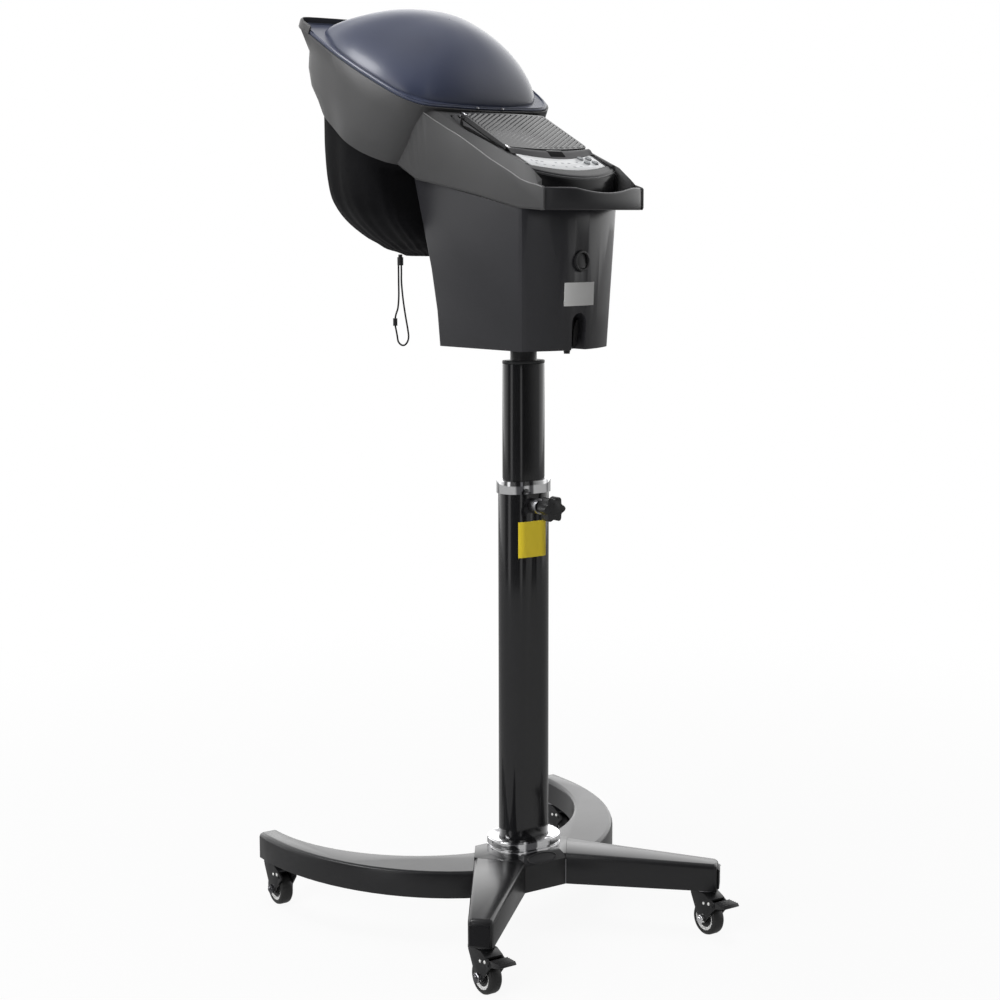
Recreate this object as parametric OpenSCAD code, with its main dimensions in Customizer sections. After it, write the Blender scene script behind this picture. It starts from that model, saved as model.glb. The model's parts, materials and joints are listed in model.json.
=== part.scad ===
// Hair steamer on a rolling stand: a steam head with a hood and a cloth bonnet,
// turning on a telescopic column over a base with two straight legs and a crescent.
// The origin is on the column's axis at floor level, +Z is up, and the operator's side faces -Y.

/* [Casters] */
// Diameter of the caster wheels
wheel_d = 50; // [40:1:60]
// Width of the tyres
wheel_w = 20; // [14:1:24]
// Diameter of the plastic wheel inside the tyre
rim_d = 36; // [28:1:37]
// Diameter of the wheel axles
axle_d = 8; // [5:0.5:10]
// Distance that a wheel trails behind its swivel stem
caster_trail = 9; // [6:1:14]
// Diameter of the swivel stems
caster_stem_d = 11; // [8:1:14]
// Thickness of the fork's side plates
fork_plate = 2.5; // [1.5:0.5:4]
// Length of the brake pedals, from the stem to the tip
pedal_reach = 60; // [52:1:80]
// Width of the brake pedals
pedal_w = 27; // [22:1:40]

/* [Base] */
// Height of the underside of the crescent above the floor
leg_under = 67; // [64:1:90]
// Height of the crescent
crescent_h = 39; // [30:1:44]
// Height of the straight legs at the column
leg_h = 46; // [40:1:60]
// Height of the straight legs at their ends
leg_tip_h = 40; // [34:1:46]
// Width of the bevel along the upper edges
leg_bevel = 6; // [2:1:8]
// Angle between each straight leg and the front
leg_angle = 46.7; // [44:0.1:49]
// Distance from the column to the end of a straight leg
leg_reach = 287; // [250:1:330]
// Width of a straight leg at its end
leg_tip_w = 36; // [28:1:44]
// Half width of the crescent's outer edge
crescent_w = 280; // [250:1:310]
// Half width of the crescent's inner edge
crescent_in_w = 248; // [222:1:252]
// Distance from the column forward to the crescent's outer edge
crescent_front = 57; // [50:1:60]
// Distance from the column back to the crescent's inner edge
crescent_in_front = 39; // [32:1:46]
// Distance from the column to the widest place of the crescent's outer edge
crescent_y = 284; // [270:1:300]
// Distance from the column to the widest place of the crescent's inner edge
crescent_in_y = 305; // [290:1:320]
// How far the crescent's ends reach behind the column
crescent_end_y = 306; // [290:1:318]
// Width of the chrome collar on the base
collar_w = 112; // [104:1:118]
// Depth of the chrome collar on the base
collar_d = 86; // [78:1:90]
// Height of the chrome collar
collar_h = 24; // [20:1:40]

/* [Column] */
// Width of the outer tube
outer_w = 78; // [74:1:90]
// Depth of the outer tube
outer_d = 50; // [48:1:60]
// Height of the outer tube's upper end above the floor
outer_top = 660; // [655:1:700]
// Width of the inner tube
inner_w = 65; // [50:1:67]
// Depth of the inner tube
inner_d = 41; // [34:1:41]
// Length of the inner tube
inner_len = 485; // [430:1:520]
// Wall of both tubes
tube_wall = 2; // [1.5:0.5:2.5]
// Height of the chrome clamp collar
clamp_h = 18; // [12:1:26]
// How far the clamp collar stands proud of the outer tube
clamp_proud = 2.4; // [1.5:0.1:4]
// Gap between parts that slide on each other
slide_gap = 0.3; // [0.2:0.05:0.5]
// Height of the clamp knob's axis above the floor
knob_z = 629; // [615:1:632]
// Diameter over the lobes of the clamp knob
knob_d = 38; // [30:1:44]
// Number of lobes on the clamp knob
knob_lobes = 6; // [5:1:8]
// Thickness of the clamp knob
knob_t = 16; // [12:1:20]
// Diameter of the clamp screw
screw_d = 8; // [6:1:10]

/* [Swivel] */
// Diameter of the spigot that carries the head
spigot_d = 38; // [30:1:44]
// Length of the spigot that shows between the column and the tank
spigot_bare = 20; // [15:1:30]
// How far the spigot reaches into the tank
spigot_hold = 40; // [34:1:50]
// Angle that the head is turned to on the column, as set in the photograph
head_turn = 8.4; // [0:0.1:20]

/* [Tank] */
// Height of the tank's underside above the floor
tank_z = 855; // [848:1:870]
// Half width of the tank at its underside
tank_low_w = 84; // [76:1:90]
// Half width of the tank at its rim
tank_top_w = 94; // [91:1:96]
// How far the front of the tank bulges between its corners
tank_bulge = 27; // [10:1:32]
// Corner radius of the tank
tank_r = 6; // [3:1:12]
// Wall of the plastic casings
shell_wall = 3; // [2:0.5:4]
// Half width of the water reservoir
reservoir_w = 62; // [50:1:70]
// Height of the water reservoir
reservoir_h = 118; // [90:1:125]
// Diameter of the switch bezel
switch_d = 28; // [22:1:34]
// Height of the switch above the floor
switch_z = 977; // [965:1:990]
// Width of the drain recess
drain_w = 27; // [22:1:32]
// Height of the drain recess
drain_h = 52; // [44:1:60]
// Outer diameter of the drain hose
hose_d = 9; // [7:0.5:11]

/* [Pod] */
// Half width of the pod at the handle
pod_w = 96.5; // [96:0.5:98]
// Half width of the pod where it meets the hood
pod_rear_w = 124; // [116:1:128]
// Slope of the pod's top
pod_slope = 27.5; // [26:0.5:29]
// Height of the handle's underside above the floor
grip_z = 1046; // [1040:1:1048]
// Height of the handle
grip_h = 30.5; // [26:0.5:34]
// Depth of the dip in the handle's upper edge
grip_dip = 7; // [0:1:10]
// How far the handle stands in front of the column
grip_y = 141; // [137:1:150]
// How far the handle bows forward between its ends
grip_bow = 20; // [8:1:24]
// Half width of the lid
lid_w = 79; // [72:1:80]
// Thickness of the lid
lid_t = 9; // [6:1:11]
// Diameter of the buttons
button_d = 9; // [6:0.5:10]

/* [Hood] */
// Tilt of the hood's rim
hood_tilt = 27.5; // [24:0.5:30]
// Distance from the column to the front of the hood's rim
hood_y = 84; // [82:1:88]
// Height of the front of the hood's rim above the floor
hood_z = 1193.3; // [1191:0.1:1200]
// Depth of the hood's side band
band_h = 95; // [90:1:100]
// Height of the clear dome above the rim
dome_h = 79; // [60:1:100]
// Wall of the dome
dome_wall = 3; // [2:0.5:4]
// Half width of the dome
dome_w = 148; // [140:0.5:149]
// Half length of the dome
dome_len = 131.6; // [125:0.1:132]
// Height of the lip at the back of the hood
lip_h = 11; // [6:1:16]

/* [Bonnet] */
// Height of the bonnet's lower edge above the floor
bonnet_z = 980; // [975:1:990]
// Thickness of the bonnet's cloth with its pile
bonnet_t = 3; // [2:0.5:4]
// Number of folds round the bonnet
bonnet_folds = 12; // [9:1:15]
// Depth of the folds
fold_depth = 3; // [0:0.5:4]
// Diameter of the drawcord
cord_d = 2.6; // [2:0.1:3.5]

/* [Hidden] */

$fn = 64;
// Clearance between two separate pieces that are fixed together
fit = 0.1;
// Radial clearance of a turning pin
run = 0.05;
// A little extra, so that a cut goes right through
eps = 1;

// Closed stadium outline: a rectangle with half-round ends
function stadium(w, d, n = 20) = [for (side = [0, 1]) for (i = [0 : n])
    let (a = -90 + 180 * side + 180 * i / n)
    [(1 - 2 * side) * (w - d) / 2 + d / 2 * cos(a), d / 2 * sin(a)]];

// Smooth closed curve through the points p, with k steps from one point to the next
function smooth(p, k) = let (n = len(p)) [for (i = [0 : n - 1]) for (j = [0 : k - 1])
    let (t = j / k, a = p[(i + n - 1) % n], b = p[i], c = p[(i + 1) % n], d = p[(i + 2) % n])
    0.5 * (2 * b + (c - a) * t + (2 * a - 5 * b + 4 * c - d) * t * t + (3 * b - a - 3 * c + d)
        * t * t * t)];

// Whole outline from its right half, which runs from the front centre to the rear centre
function mirrored(half) = concat(half, [for (i = [len(half) - 2 : -1 : 1]) let (p = half[i])
    len(p) == 3 ? [-p[0], p[1], p[2]] : [-p[0], p[1]]]);

function at_height(loop, z) = [for (p = loop) [p[0], p[1], z]];
function mix(a, b, t) = a + (b - a) * t;

// Solid through closed loops of points, which run counterclockwise seen from the last loop's side;
// strips closes the ends across the loops' line of symmetry, for ends that aren't flat
module skin(loops, strips = false) {
    n = len(loops[0]);
    m = len(loops);
    last = (m - 1) * n;
    sides = [for (l = [0 : m - 2]) for (i = [0 : n - 1])
        let (a = l * n + i, b = l * n + (i + 1) % n)
        each [[a, a + n, b + n], [a, b + n, b]]];
    ends = strips
        ? [for (i = [0 : n / 2 - 1]) let (q = i == 0 ? [0, 1, n - 1]
            : i == n / 2 - 1 ? [i, i + 1, n - i] : [i, i + 1, n - i - 1, n - i])
            each [q, [for (k = [len(q) - 1 : -1 : 0]) last + q[k]]]]
        : [[for (i = [0 : n - 1]) i], [for (i = [n - 1 : -1 : 0]) last + i]];
    polyhedron([for (loop = loops) each loop], concat(sides, ends));
}

module stadium_bar(w, d, z0, z1) {
    translate([0, 0, z0]) linear_extrude(z1 - z0) polygon(stadium(w, d));
}

module stadium_ring(w, d, inner_w, inner_d, z0, z1) {
    difference() {
        stadium_bar(w, d, z0, z1);
        stadium_bar(inner_w, inner_d, z0 - eps, z1 + eps);
    }
}

// Cylinder along X between two planes, and the same along Y
module rod_x(d, x0, x1) translate([x0, 0, 0]) rotate([0, 90, 0]) cylinder(d = d, h = x1 - x0);
module rod_y(d, y0, y1) translate([0, y0, 0]) rotate([-90, 0, 0]) cylinder(d = d, h = y1 - y0);

// Height of the inner tube's upper end above the floor
inner_top = tank_z - spigot_bare;
spigot_len = spigot_bare + spigot_hold;

// Base
leg_top = leg_under + leg_h;
crescent_top = leg_under + crescent_h;
leg_dir = [sin(leg_angle), -cos(leg_angle)];
leg_side = [cos(leg_angle), sin(leg_angle)];
// Corners of the hub's outline: at the notch between the legs, beside the column and behind it
notch = [36, -56];
shoulder = [84, 6];
hub_rear = [53, 50];
crescent_steps = 44;
crescent_out_d = crescent_y + crescent_front;
crescent_in_d = crescent_in_y - crescent_in_front;
crescent_end = acos((crescent_y - crescent_end_y) / crescent_out_d);
crescent_in_end = acos((crescent_in_y - crescent_end_y) / crescent_in_d);
// Share of the bevel where its rounding turns
bevel_turn = 0.3;

// Section of a bevelled bar between the points out and in, from z0 up to z1
function bar_section(out, in, z0, z1, b) = let (across = (in - out) / norm(in - out),
        profile = [[0, z0, 0], [1, z0, 0], [1, z1 - b, 0], [1, z1 - b * bevel_turn, -b * bevel_turn],
            [1, z1, -b],
            [0, z1, b], [0, z1 - b * bevel_turn, b * bevel_turn], [0, z1 - b, 0]])
    [for (q = profile) let (p = (q[0] == 1 ? in : out) + across * q[2]) [p[0], p[1], q[1]]];

function crescent_section(f) = let (a = crescent_end * f, b = crescent_in_end * f)
    bar_section([crescent_w * sin(a), crescent_y - crescent_out_d * cos(a)],
        [crescent_in_w * sin(b), crescent_in_y - crescent_in_d * cos(b)], leg_under, crescent_top,
            leg_bevel);

module crescent_body() difference() {
    skin([for (i = [0 : crescent_steps]) crescent_section(-1 + 2 * i / crescent_steps)]);
    translate([-notch[0] * 2, notch[1] - 40, 0]) cube([notch[0] * 4, 41, leg_top]);
}

// Casters, each placed by its stem's axis
stem_reach = leg_reach - 19;
rear_stem_y = crescent_end_y - 22;
rear_stem_x = (crescent_w + crescent_in_w) / 2 - 3;
front_left = [-stem_reach * leg_dir[0], stem_reach * leg_dir[1]];
front_right = [stem_reach * leg_dir[0], stem_reach * leg_dir[1]];
rear_left = [-rear_stem_x, rear_stem_y];
rear_right = [rear_stem_x, rear_stem_y];
stem_depth = 28;
washer_t = 3;
washer_d = 26;
fork_top = leg_under - washer_t - slide_gap;
fork_roof = 4;
// Clearance between the wheel and each side plate of its fork
wheel_gap = 1.2;
fork_in = wheel_w / 2 + wheel_gap;
fork_out = fork_in + fork_plate;
axle_z = wheel_d / 2;
nut_d = axle_d + 5;
nut_t = 3.5;
// The brake's pivot, measured from the stem's axis
pivot_y = -caster_trail - wheel_d / 2 + 3;
pivot_z = wheel_d - 1;
pivot_d = 5;
// The pedal's plate: its top above the pivot, its back edge clear of the fork, its ribs' spacing
pedal_top = 8;
pedal_back = pivot_y - pivot_d / 2 - 4;
rib_step = 4.2;
// Where the fork's sloped front ends
apron_y = pivot_y + 4;
apron_z = fork_top - (-caster_trail - 5 - apron_y) * 0.46;

// Raised front of the hub, before the collar: how far it rises and where its slope starts and ends
boss_rise = 6.5;
boss_low = 6;
boss_slope = 11;
function boss_y(z) = notch[1] + (z - leg_top + boss_low) * (boss_slope - 2.4) / (boss_rise - 1 + boss_low);
module hub_boss() difference() {
    rotate([90, 0, 90]) translate([0, 0, -notch[0]]) linear_extrude(2 * notch[0])
        polygon([[boss_y(leg_top - 0.5), leg_top - 0.5],
            [boss_y(leg_top + boss_rise - 1), leg_top + boss_rise - 1],
            [notch[1] + boss_slope, leg_top + boss_rise],
            [-36, leg_top + boss_rise], [-36, leg_top - 0.5]]);
    stadium_bar(collar_w + 2 * fit, collar_d + 2 * fit, leg_top, leg_top + boss_rise + 1);
    for (side = [-1, 1]) scale([side, 1, 1]) translate([notch[0], notch[1], leg_top]) rotate([0, -35, 0])
        translate([0, -5, -2]) cube([30, 40, 30]);
}

module base_hub() {
    inner_fill = [outer_w - 2 * tube_wall - 2 * fit, outer_d - 2 * tube_wall - 2 * fit];
    outline = [[-notch[0], notch[1]], notch, shoulder, hub_rear, [-hub_rear[0], hub_rear[1]],
        [-shoulder[0], shoulder[1]]];
    color([0.08, 0.08, 0.09]) {
        difference() {
            translate([0, 0, leg_under]) linear_extrude(leg_h) polygon(outline);
            crescent_body();
            rotate([90, 0, 90]) translate([0, 0, -notch[0] - 1]) linear_extrude(2 * notch[0] + 2)
                polygon([[notch[1] - 1, leg_top - boss_low], [notch[1], leg_top - boss_low],
                    [boss_y(leg_top + 2), leg_top + 2], [notch[1] - 1, leg_top + 2]]);
        }
        hub_boss();
        difference() {
            stadium_bar(inner_fill[0], inner_fill[1], leg_top, leg_top + 40);
            translate([0, 0, leg_top - eps]) cylinder(d = 16, h = 42);
        }
    }
}

module crescent() {
    color([0.10, 0.10, 0.11]) difference() {
        crescent_body();
        for (p = [rear_left, rear_right])
            translate([p[0], p[1], leg_under - eps]) cylinder(d = caster_stem_d + 2 * run,
                h = stem_depth + eps);
    }
}

module straight_leg(side) {
    tip = leg_dir * leg_reach;
    half = leg_side * leg_tip_w / 2;
    stem = side < 0 ? front_left : front_right;
    color([0.10, 0.10, 0.11]) difference() {
        scale([side, 1, 1]) skin([
            bar_section(notch, shoulder, leg_under, leg_top, leg_bevel),
            bar_section(tip - half - leg_dir * leg_bevel, tip + half - leg_dir * leg_bevel,
                leg_under, leg_under + leg_tip_h, leg_bevel),
            bar_section(tip - half + leg_side * 2 - leg_dir * 2, tip + half - leg_side * 2 - leg_dir * 2,
                leg_under, leg_under + leg_tip_h - 2, leg_bevel),
            bar_section(tip - half + leg_side * leg_bevel, tip + half - leg_side * leg_bevel,
                leg_under, leg_under + leg_tip_h - leg_bevel, leg_bevel)]);
        crescent_body();
        translate([stem[0], stem[1], leg_under - eps])
            cylinder(d = caster_stem_d + 2 * run, h = stem_depth + eps);
    }
}
module left_leg() straight_leg(-1);
module right_leg() straight_leg(1);

module base_collar() {
    groove = 3;
    band = (collar_h - groove) / 2;
    hole_w = outer_w + 2 * fit;
    hole_d = outer_d + 2 * fit;
    color([0.85, 0.85, 0.87]) {
        stadium_ring(collar_w, collar_d, hole_w, hole_d, leg_top, leg_top + band);
        stadium_ring(collar_w - 5, collar_d - 5, hole_w, hole_d, leg_top + band, leg_top + band + groove);
        stadium_ring(collar_w, collar_d, hole_w, hole_d, leg_top + band + groove, leg_top + collar_h - 1.5);
        stadium_ring(collar_w - 3, collar_d - 3, hole_w, hole_d, leg_top + collar_h - 1.5,
            leg_top + collar_h);
    }
}

module caster_stems() {
    color([0.6, 0.6, 0.62]) for (p = [front_left, front_right, rear_left, rear_right])
        translate([p[0], p[1], 0]) {
            translate([0, 0, fork_top - fork_roof - slide_gap])
                cylinder(d = caster_stem_d, h = leg_under - fork_top + fork_roof + slide_gap + stem_depth
                    - eps);
            translate([0, 0, leg_under - washer_t]) cylinder(d = washer_d, h = washer_t);
            translate([0, 0, fork_top - fork_roof - slide_gap - 2]) cylinder(d = caster_stem_d + 5, h = 2);
        }
}

module fork_side(x0) {
    difference() {
        translate([x0, 0, 0]) rotate([90, 0, 90]) linear_extrude(fork_plate) hull() {
            translate([-caster_trail, axle_z]) circle(d = axle_d + 7, $fn = 32);
            translate([-caster_trail - 5, fork_top - 6]) square([caster_trail + washer_d / 2 + 8, 6]);
            translate([pivot_y, pivot_z]) circle(d = pivot_d + 6, $fn = 32);
        }
        translate([0, -caster_trail, axle_z]) rod_x(axle_d + 2 * fit, x0 - eps, x0 + fork_plate + eps);
        translate([0, pivot_y, pivot_z]) rod_x(pivot_d + 2 * run, x0 - eps, x0 + fork_plate + eps);
    }
}

module fork(stem) {
    color([0.07, 0.07, 0.08]) translate([stem[0], stem[1], 0]) {
        difference() {
            union() {
                fork_side(-fork_out);
                fork_side(fork_in);
                translate([-fork_out, -caster_trail - 5, fork_top - fork_roof])
                    cube([2 * fork_out, caster_trail + washer_d / 2 + 9, fork_roof]);
                translate([-fork_out, 0, 0]) rotate([90, 0, 90]) linear_extrude(2 * fork_out)
                    polygon([[-caster_trail - 4, fork_top], [-caster_trail - 5, fork_top],
                        [apron_y, apron_z], [apron_y, apron_z - 2.4], [-caster_trail - 4, fork_top - 3]]);
            }
            translate([0, 0, fork_top - fork_roof - eps])
                cylinder(d = caster_stem_d + 2 * run, h = fork_roof + 2 * eps);
        }
        translate([0, -caster_trail, axle_z]) {
            rod_x(axle_d, -fork_out, fork_out);
            rod_x(nut_d, -fork_out - nut_t, -fork_out);
            rod_x(nut_d, fork_out, fork_out + nut_t);
        }
    }
}

module wheel(stem) {
    color([0.85, 0.85, 0.85]) translate([stem[0], stem[1] - caster_trail, axle_z]) rotate([0, 90, 0])
        rotate_extrude() polygon([[axle_d / 2 + run, -wheel_w / 2], [axle_d / 2 + 4, -wheel_w / 2],
            [axle_d / 2 + 5, -wheel_w / 2 + 3], [rim_d / 2 - 3, -wheel_w / 2 + 3],
                [rim_d / 2 - 2, -wheel_w / 2 + 1],
            [rim_d / 2, -wheel_w / 2 + 1], [rim_d / 2, wheel_w / 2 - 1], [rim_d / 2 - 2, wheel_w / 2 - 1],
            [rim_d / 2 - 3, wheel_w / 2 - 3], [axle_d / 2 + 5, wheel_w / 2 - 3],
                [axle_d / 2 + 4, wheel_w / 2],
            [axle_d / 2 + run, wheel_w / 2]]);
}

module tyre(stem) {
    round = 5;
    color([0.06, 0.06, 0.06]) translate([stem[0], stem[1] - caster_trail, axle_z]) rotate([0, 90, 0])
        rotate_extrude() polygon(concat([[rim_d / 2 + run, -wheel_w / 2],
            [wheel_d / 2 - round, -wheel_w / 2]],
            [for (a = [-60 : 30 : 0]) [wheel_d / 2 - round + round * cos(a),
                -wheel_w / 2 + round + round * sin(a)]],
            [for (a = [0 : 30 : 60]) [wheel_d / 2 - round + round * cos(a),
                wheel_w / 2 - round + round * sin(a)]],
            [[wheel_d / 2 - round, wheel_w / 2], [rim_d / 2 + run, wheel_w / 2]]));
}

module pedal(stem) {
    tip_y = -pedal_reach;
    rise = 5;
    color([0.07, 0.07, 0.08]) translate([stem[0], stem[1], 0]) {
        translate([0, pivot_y, pivot_z]) {
            rod_x(pivot_d, -fork_out - 1, fork_out + 1);
            rod_x(pivot_d + 5, -fork_in + slide_gap, fork_in - slide_gap);
        }
        translate([-pedal_w / 2, 0, pivot_z]) rotate([90, 0, 90]) linear_extrude(pedal_w)
            polygon(concat([[tip_y, rise], [tip_y + 2, rise - 1.5], [pedal_back - 10, 1], [pedal_back, -1],
                [pedal_back, pedal_top - 0.6]],
                [for (i = [0 : 4]) each [[pedal_back - 1.6 - rib_step * i, pedal_top + 1],
                    [pedal_back - 3.4 - rib_step * i, pedal_top]]]));
        translate([-fork_in + slide_gap, 0, pivot_z]) rotate([90, 0, 90])
            linear_extrude(2 * (fork_in - slide_gap))
            polygon([[pedal_back - 1, -1], [pivot_y + 1, -2], [pivot_y + 2, 3.5],
                [pedal_back + 3, pedal_top - 1], [pedal_back - 1, pedal_top - 0.7]]);
    }
}

module front_left_fork() fork(front_left);
module front_left_wheel() wheel(front_left);
module front_left_tyre() tyre(front_left);
module front_left_pedal() pedal(front_left);
module front_right_fork() fork(front_right);
module front_right_wheel() wheel(front_right);
module front_right_tyre() tyre(front_right);
module front_right_pedal() pedal(front_right);
module rear_left_fork() fork(rear_left);
module rear_left_wheel() wheel(rear_left);
module rear_left_tyre() tyre(rear_left);
module rear_right_fork() fork(rear_right);
module rear_right_wheel() wheel(rear_right);
module rear_right_tyre() tyre(rear_right);

// Column
bore_w = outer_w - 2 * tube_wall;
bore_d = outer_d - 2 * tube_wall;
clamp_lip = 4;
clamp_z = outer_top + clamp_lip - clamp_h;
bush_len = 60;
boss_d = screw_d + 14;
boss_y = outer_d / 2 + 19;
knob_back = boss_y + 17;
plug_flange = 4;
tube_low = inner_top - plug_flange - inner_len;
glide_h = 22;

module at_knob() translate([0, 0, knob_z]) children();

module outer_tube() {
    color([0.06, 0.06, 0.07]) difference() {
        stadium_ring(outer_w, outer_d, bore_w, bore_d, leg_top, outer_top);
        at_knob() rod_y(screw_d + 2, -outer_d, 0);
    }
}

module clamp_collar() {
    color([0.85, 0.85, 0.87]) {
        stadium_ring(outer_w + 2 * clamp_proud, outer_d + 2 * clamp_proud, outer_w + 2 * fit,
            outer_d + 2 * fit,
            clamp_z, outer_top + fit);
        stadium_ring(outer_w + 2 * clamp_proud, outer_d + 2 * clamp_proud, inner_w + 2 * slide_gap,
            inner_d + 2 * slide_gap, outer_top + fit, clamp_z + clamp_h);
    }
}

module guide_bush() {
    color([0.5, 0.5, 0.52]) difference() {
        stadium_ring(bore_w - 2 * fit, bore_d - 2 * fit, inner_w + 2 * slide_gap, inner_d + 2 * slide_gap,
            outer_top - bush_len, outer_top);
        at_knob() rod_y(screw_d + 2, -outer_d, 0);
    }
}

module clamp_boss() {
    color([0.08, 0.08, 0.09]) at_knob() difference() {
        rod_y(boss_d, -boss_y, -outer_d / 2);
        rod_y(screw_d + 2 * run, -boss_y - eps, 0);
    }
}

module clamp_screw() {
    color([0.6, 0.6, 0.62]) at_knob() rod_y(screw_d, -knob_back - 6, -inner_d / 2 - slide_gap);
}

module clamp_knob() {
    lobe = knob_d / 2 * 0.13;
    body_r = knob_d / 2 - lobe;
    star = [for (i = [0 : knob_lobes * 12 - 1]) let (a = 30 * i / knob_lobes)
        (body_r + lobe * cos(a * knob_lobes)) * [cos(a), sin(a)]];
    color([0.05, 0.05, 0.05]) at_knob() difference() {
        union() {
            translate([0, -knob_back, 0]) rotate([90, 0, 0]) linear_extrude(knob_t) polygon(star);
            rod_y(boss_d - 4, -knob_back, -boss_y - 2);
            rod_y(knob_d * 0.42, -knob_back - knob_t - 1, -knob_back - knob_t);
        }
        rod_y(screw_d + 2 * run, -knob_back - 6 - fit, 0);
    }
}

module inner_tube() {
    color([0.06, 0.06, 0.07]) stadium_ring(inner_w, inner_d, inner_w - 2 * tube_wall,
        inner_d - 2 * tube_wall,
        tube_low, inner_top - plug_flange);
}

module tube_glide() {
    color([0.5, 0.5, 0.52]) {
        stadium_bar(bore_w - 2 * slide_gap, bore_d - 2 * slide_gap, tube_low - glide_h, tube_low);
        stadium_bar(inner_w - 2 * tube_wall - 2 * fit, inner_d - 2 * tube_wall - 2 * fit, tube_low,
            tube_low + 25);
    }
}

module swivel_spigot() {
    color([0.5, 0.5, 0.52]) {
        stadium_bar(inner_w - 2 * tube_wall - 2 * fit, inner_d - 2 * tube_wall - 2 * fit,
            inner_top - plug_flange - 40, inner_top - plug_flange);
        stadium_bar(inner_w, inner_d, inner_top - plug_flange, inner_top);
        translate([0, 0, inner_top]) cylinder(d = spigot_d, h = spigot_len);
    }
}

// Head, drawn facing -Y and then turned on the column
module head() rotate([0, 0, head_turn]) children();

// Tank
tank_rise = 230;
function tank_w(z) = mix(tank_low_w, tank_top_w, (z - tank_z) / tank_rise);
function tank_front(z) = -tank_w(z) - tank_bulge;
function tank_back(z) = tank_low_w + lookup(z - tank_z, [[0, 4], [50, 7], [115, 17], [169, 30], [206, 39],
    [256, 50]]);
// How far the tank's rear wall bulges between its corners
tank_crown = 1;
// Right half of the tank's outline at the height z, drawn in by inset
function tank_half(z, inset) = let (v = tank_w(z) - inset, b = tank_back(z) - inset, r = tank_r) concat(
    [for (x = [0 : 0.15 : 0.9]) [v * x, -v - tank_bulge * (1 - x * x)]],
    [[v - 1.5, -v - tank_bulge * 0.02], [v, -v + r]],
    [for (a = [0 : 30 : 90]) [v - r + r * cos(a), b - r + r * sin(a)]], [[0, b + tank_crown]]);
function tank_loop(z, inset) = at_height(mirrored(tank_half(z, inset)), z);

// The pod's lower edge, which the tank's rim meets
function pod_low(y) = y < -91 ? grip_z + 3 * max(0, y + grip_y) / 50
    : grip_z + lookup(y, [[-91, 3], [8, 24], [100, 43], [131, 65], [160, 84]]);
rim_step = 20;
rim_gap = 0.4;
// The pod's edge steepens behind the tank's rear corners, so their height is taken this far in front of them
rim_back = 13;
function rim_height(y) = min(pod_low(y > 0 ? y - rim_back : y), grip_z + 50) - rim_gap;
// The tank's upper edge; each point's outline is taken at that point's own height
function tank_rim(inset, lift = 0) = let (n = len(tank_half(tank_z, 0)))
    mirrored([for (i = [0 : n - 1]) let (y = tank_half(grip_z + rim_step, 0)[i][1], z = rim_height(y),
        q = tank_half(z, inset)[i]) [q[0], q[1], z + lift]]);
tank_mid = [50, 110, 160];
module tank_solid(inset) skin(concat([tank_loop(tank_z, inset)],
    [for (h = tank_mid) tank_loop(tank_z + h, inset)],
    [tank_rim(inset)]), strips = true);
// The same with its ends moved out, to cut the tank's hollow
module tank_hollow() skin(concat([tank_loop(tank_z - eps, shell_wall)],
    [for (h = tank_mid) tank_loop(tank_z + h, shell_wall)], [tank_rim(shell_wall, eps)]), strips = true);

recess_depth = 24;
module drain_arch(grow, depth) {
    y = tank_front(tank_z) - eps;
    r = drain_w / 2 + grow;
    translate([0, y + depth, tank_z - eps]) rotate([90, 0, 0]) linear_extrude(depth + 10)
        polygon(concat([[-r, 0], [r, 0]], [for (a = [0 : 15 : 180]) [r * cos(a),
            drain_h - drain_w / 2 + r * sin(a)]]));
}

module tank_casing() {
    color([0.13, 0.13, 0.14]) head() difference() {
        tank_solid(0);
        difference() {
            tank_hollow();
            drain_arch(2, recess_depth + 2);
        }
        drain_arch(0, recess_depth);
        translate([0, 0, switch_z]) rod_y(switch_d - 3 + 2 * fit, tank_front(switch_z) - 20,
            tank_front(switch_z) + 20);
        translate([-inlet_w / 2 - fit, tank_low_w - 20, inlet_z - inlet_h / 2 - fit])
            cube([inlet_w + 2 * fit, 40, inlet_h + 2 * fit]);
    }
}

// Bush and floor
bush_wall = 5;
bush_d = spigot_d + 2 * run + 2 * bush_wall;
bush_top = inner_top + spigot_len + slide_gap;
floor_t = 3;
boss_wall = 5;
floor_boss = 38;

module tank_floor() {
    color([0.1, 0.1, 0.11]) head() difference() {
        union() {
            skin([tank_loop(tank_z, shell_wall + fit), tank_loop(tank_z + floor_t, shell_wall + fit)]);
            translate([0, 0, tank_z]) cylinder(d = bush_d + 2 * boss_wall, h = floor_boss);
        }
        drain_arch(2 + fit, recess_depth + 2 + fit);
        translate([0, 0, tank_z - eps]) cylinder(d = bush_d + 2 * fit, h = floor_boss + 2 * eps);
    }
}

module swivel_bush() {
    color([0.75, 0.75, 0.72]) head() difference() {
        union() {
            translate([0, 0, tank_z - 2]) cylinder(d = bush_d, h = bush_top + 4 - tank_z + 2);
            translate([0, 0, tank_z - 4]) cylinder(d = bush_d + 8, h = 4 - fit);
        }
        translate([0, 0, tank_z - 4 - eps]) cylinder(d = spigot_d + 2 * run,
            h = bush_top - tank_z + 4 + eps);
    }
}

// Water and steam
tray_z = bush_top + 4 + fit;
reservoir_front = -72;
reservoir_back = 44;
reservoir_wall = 2.5;
coil_d = 8;
coil_z = tray_z + 22;
coil_half = 32;
coil_front = -24;

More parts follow.
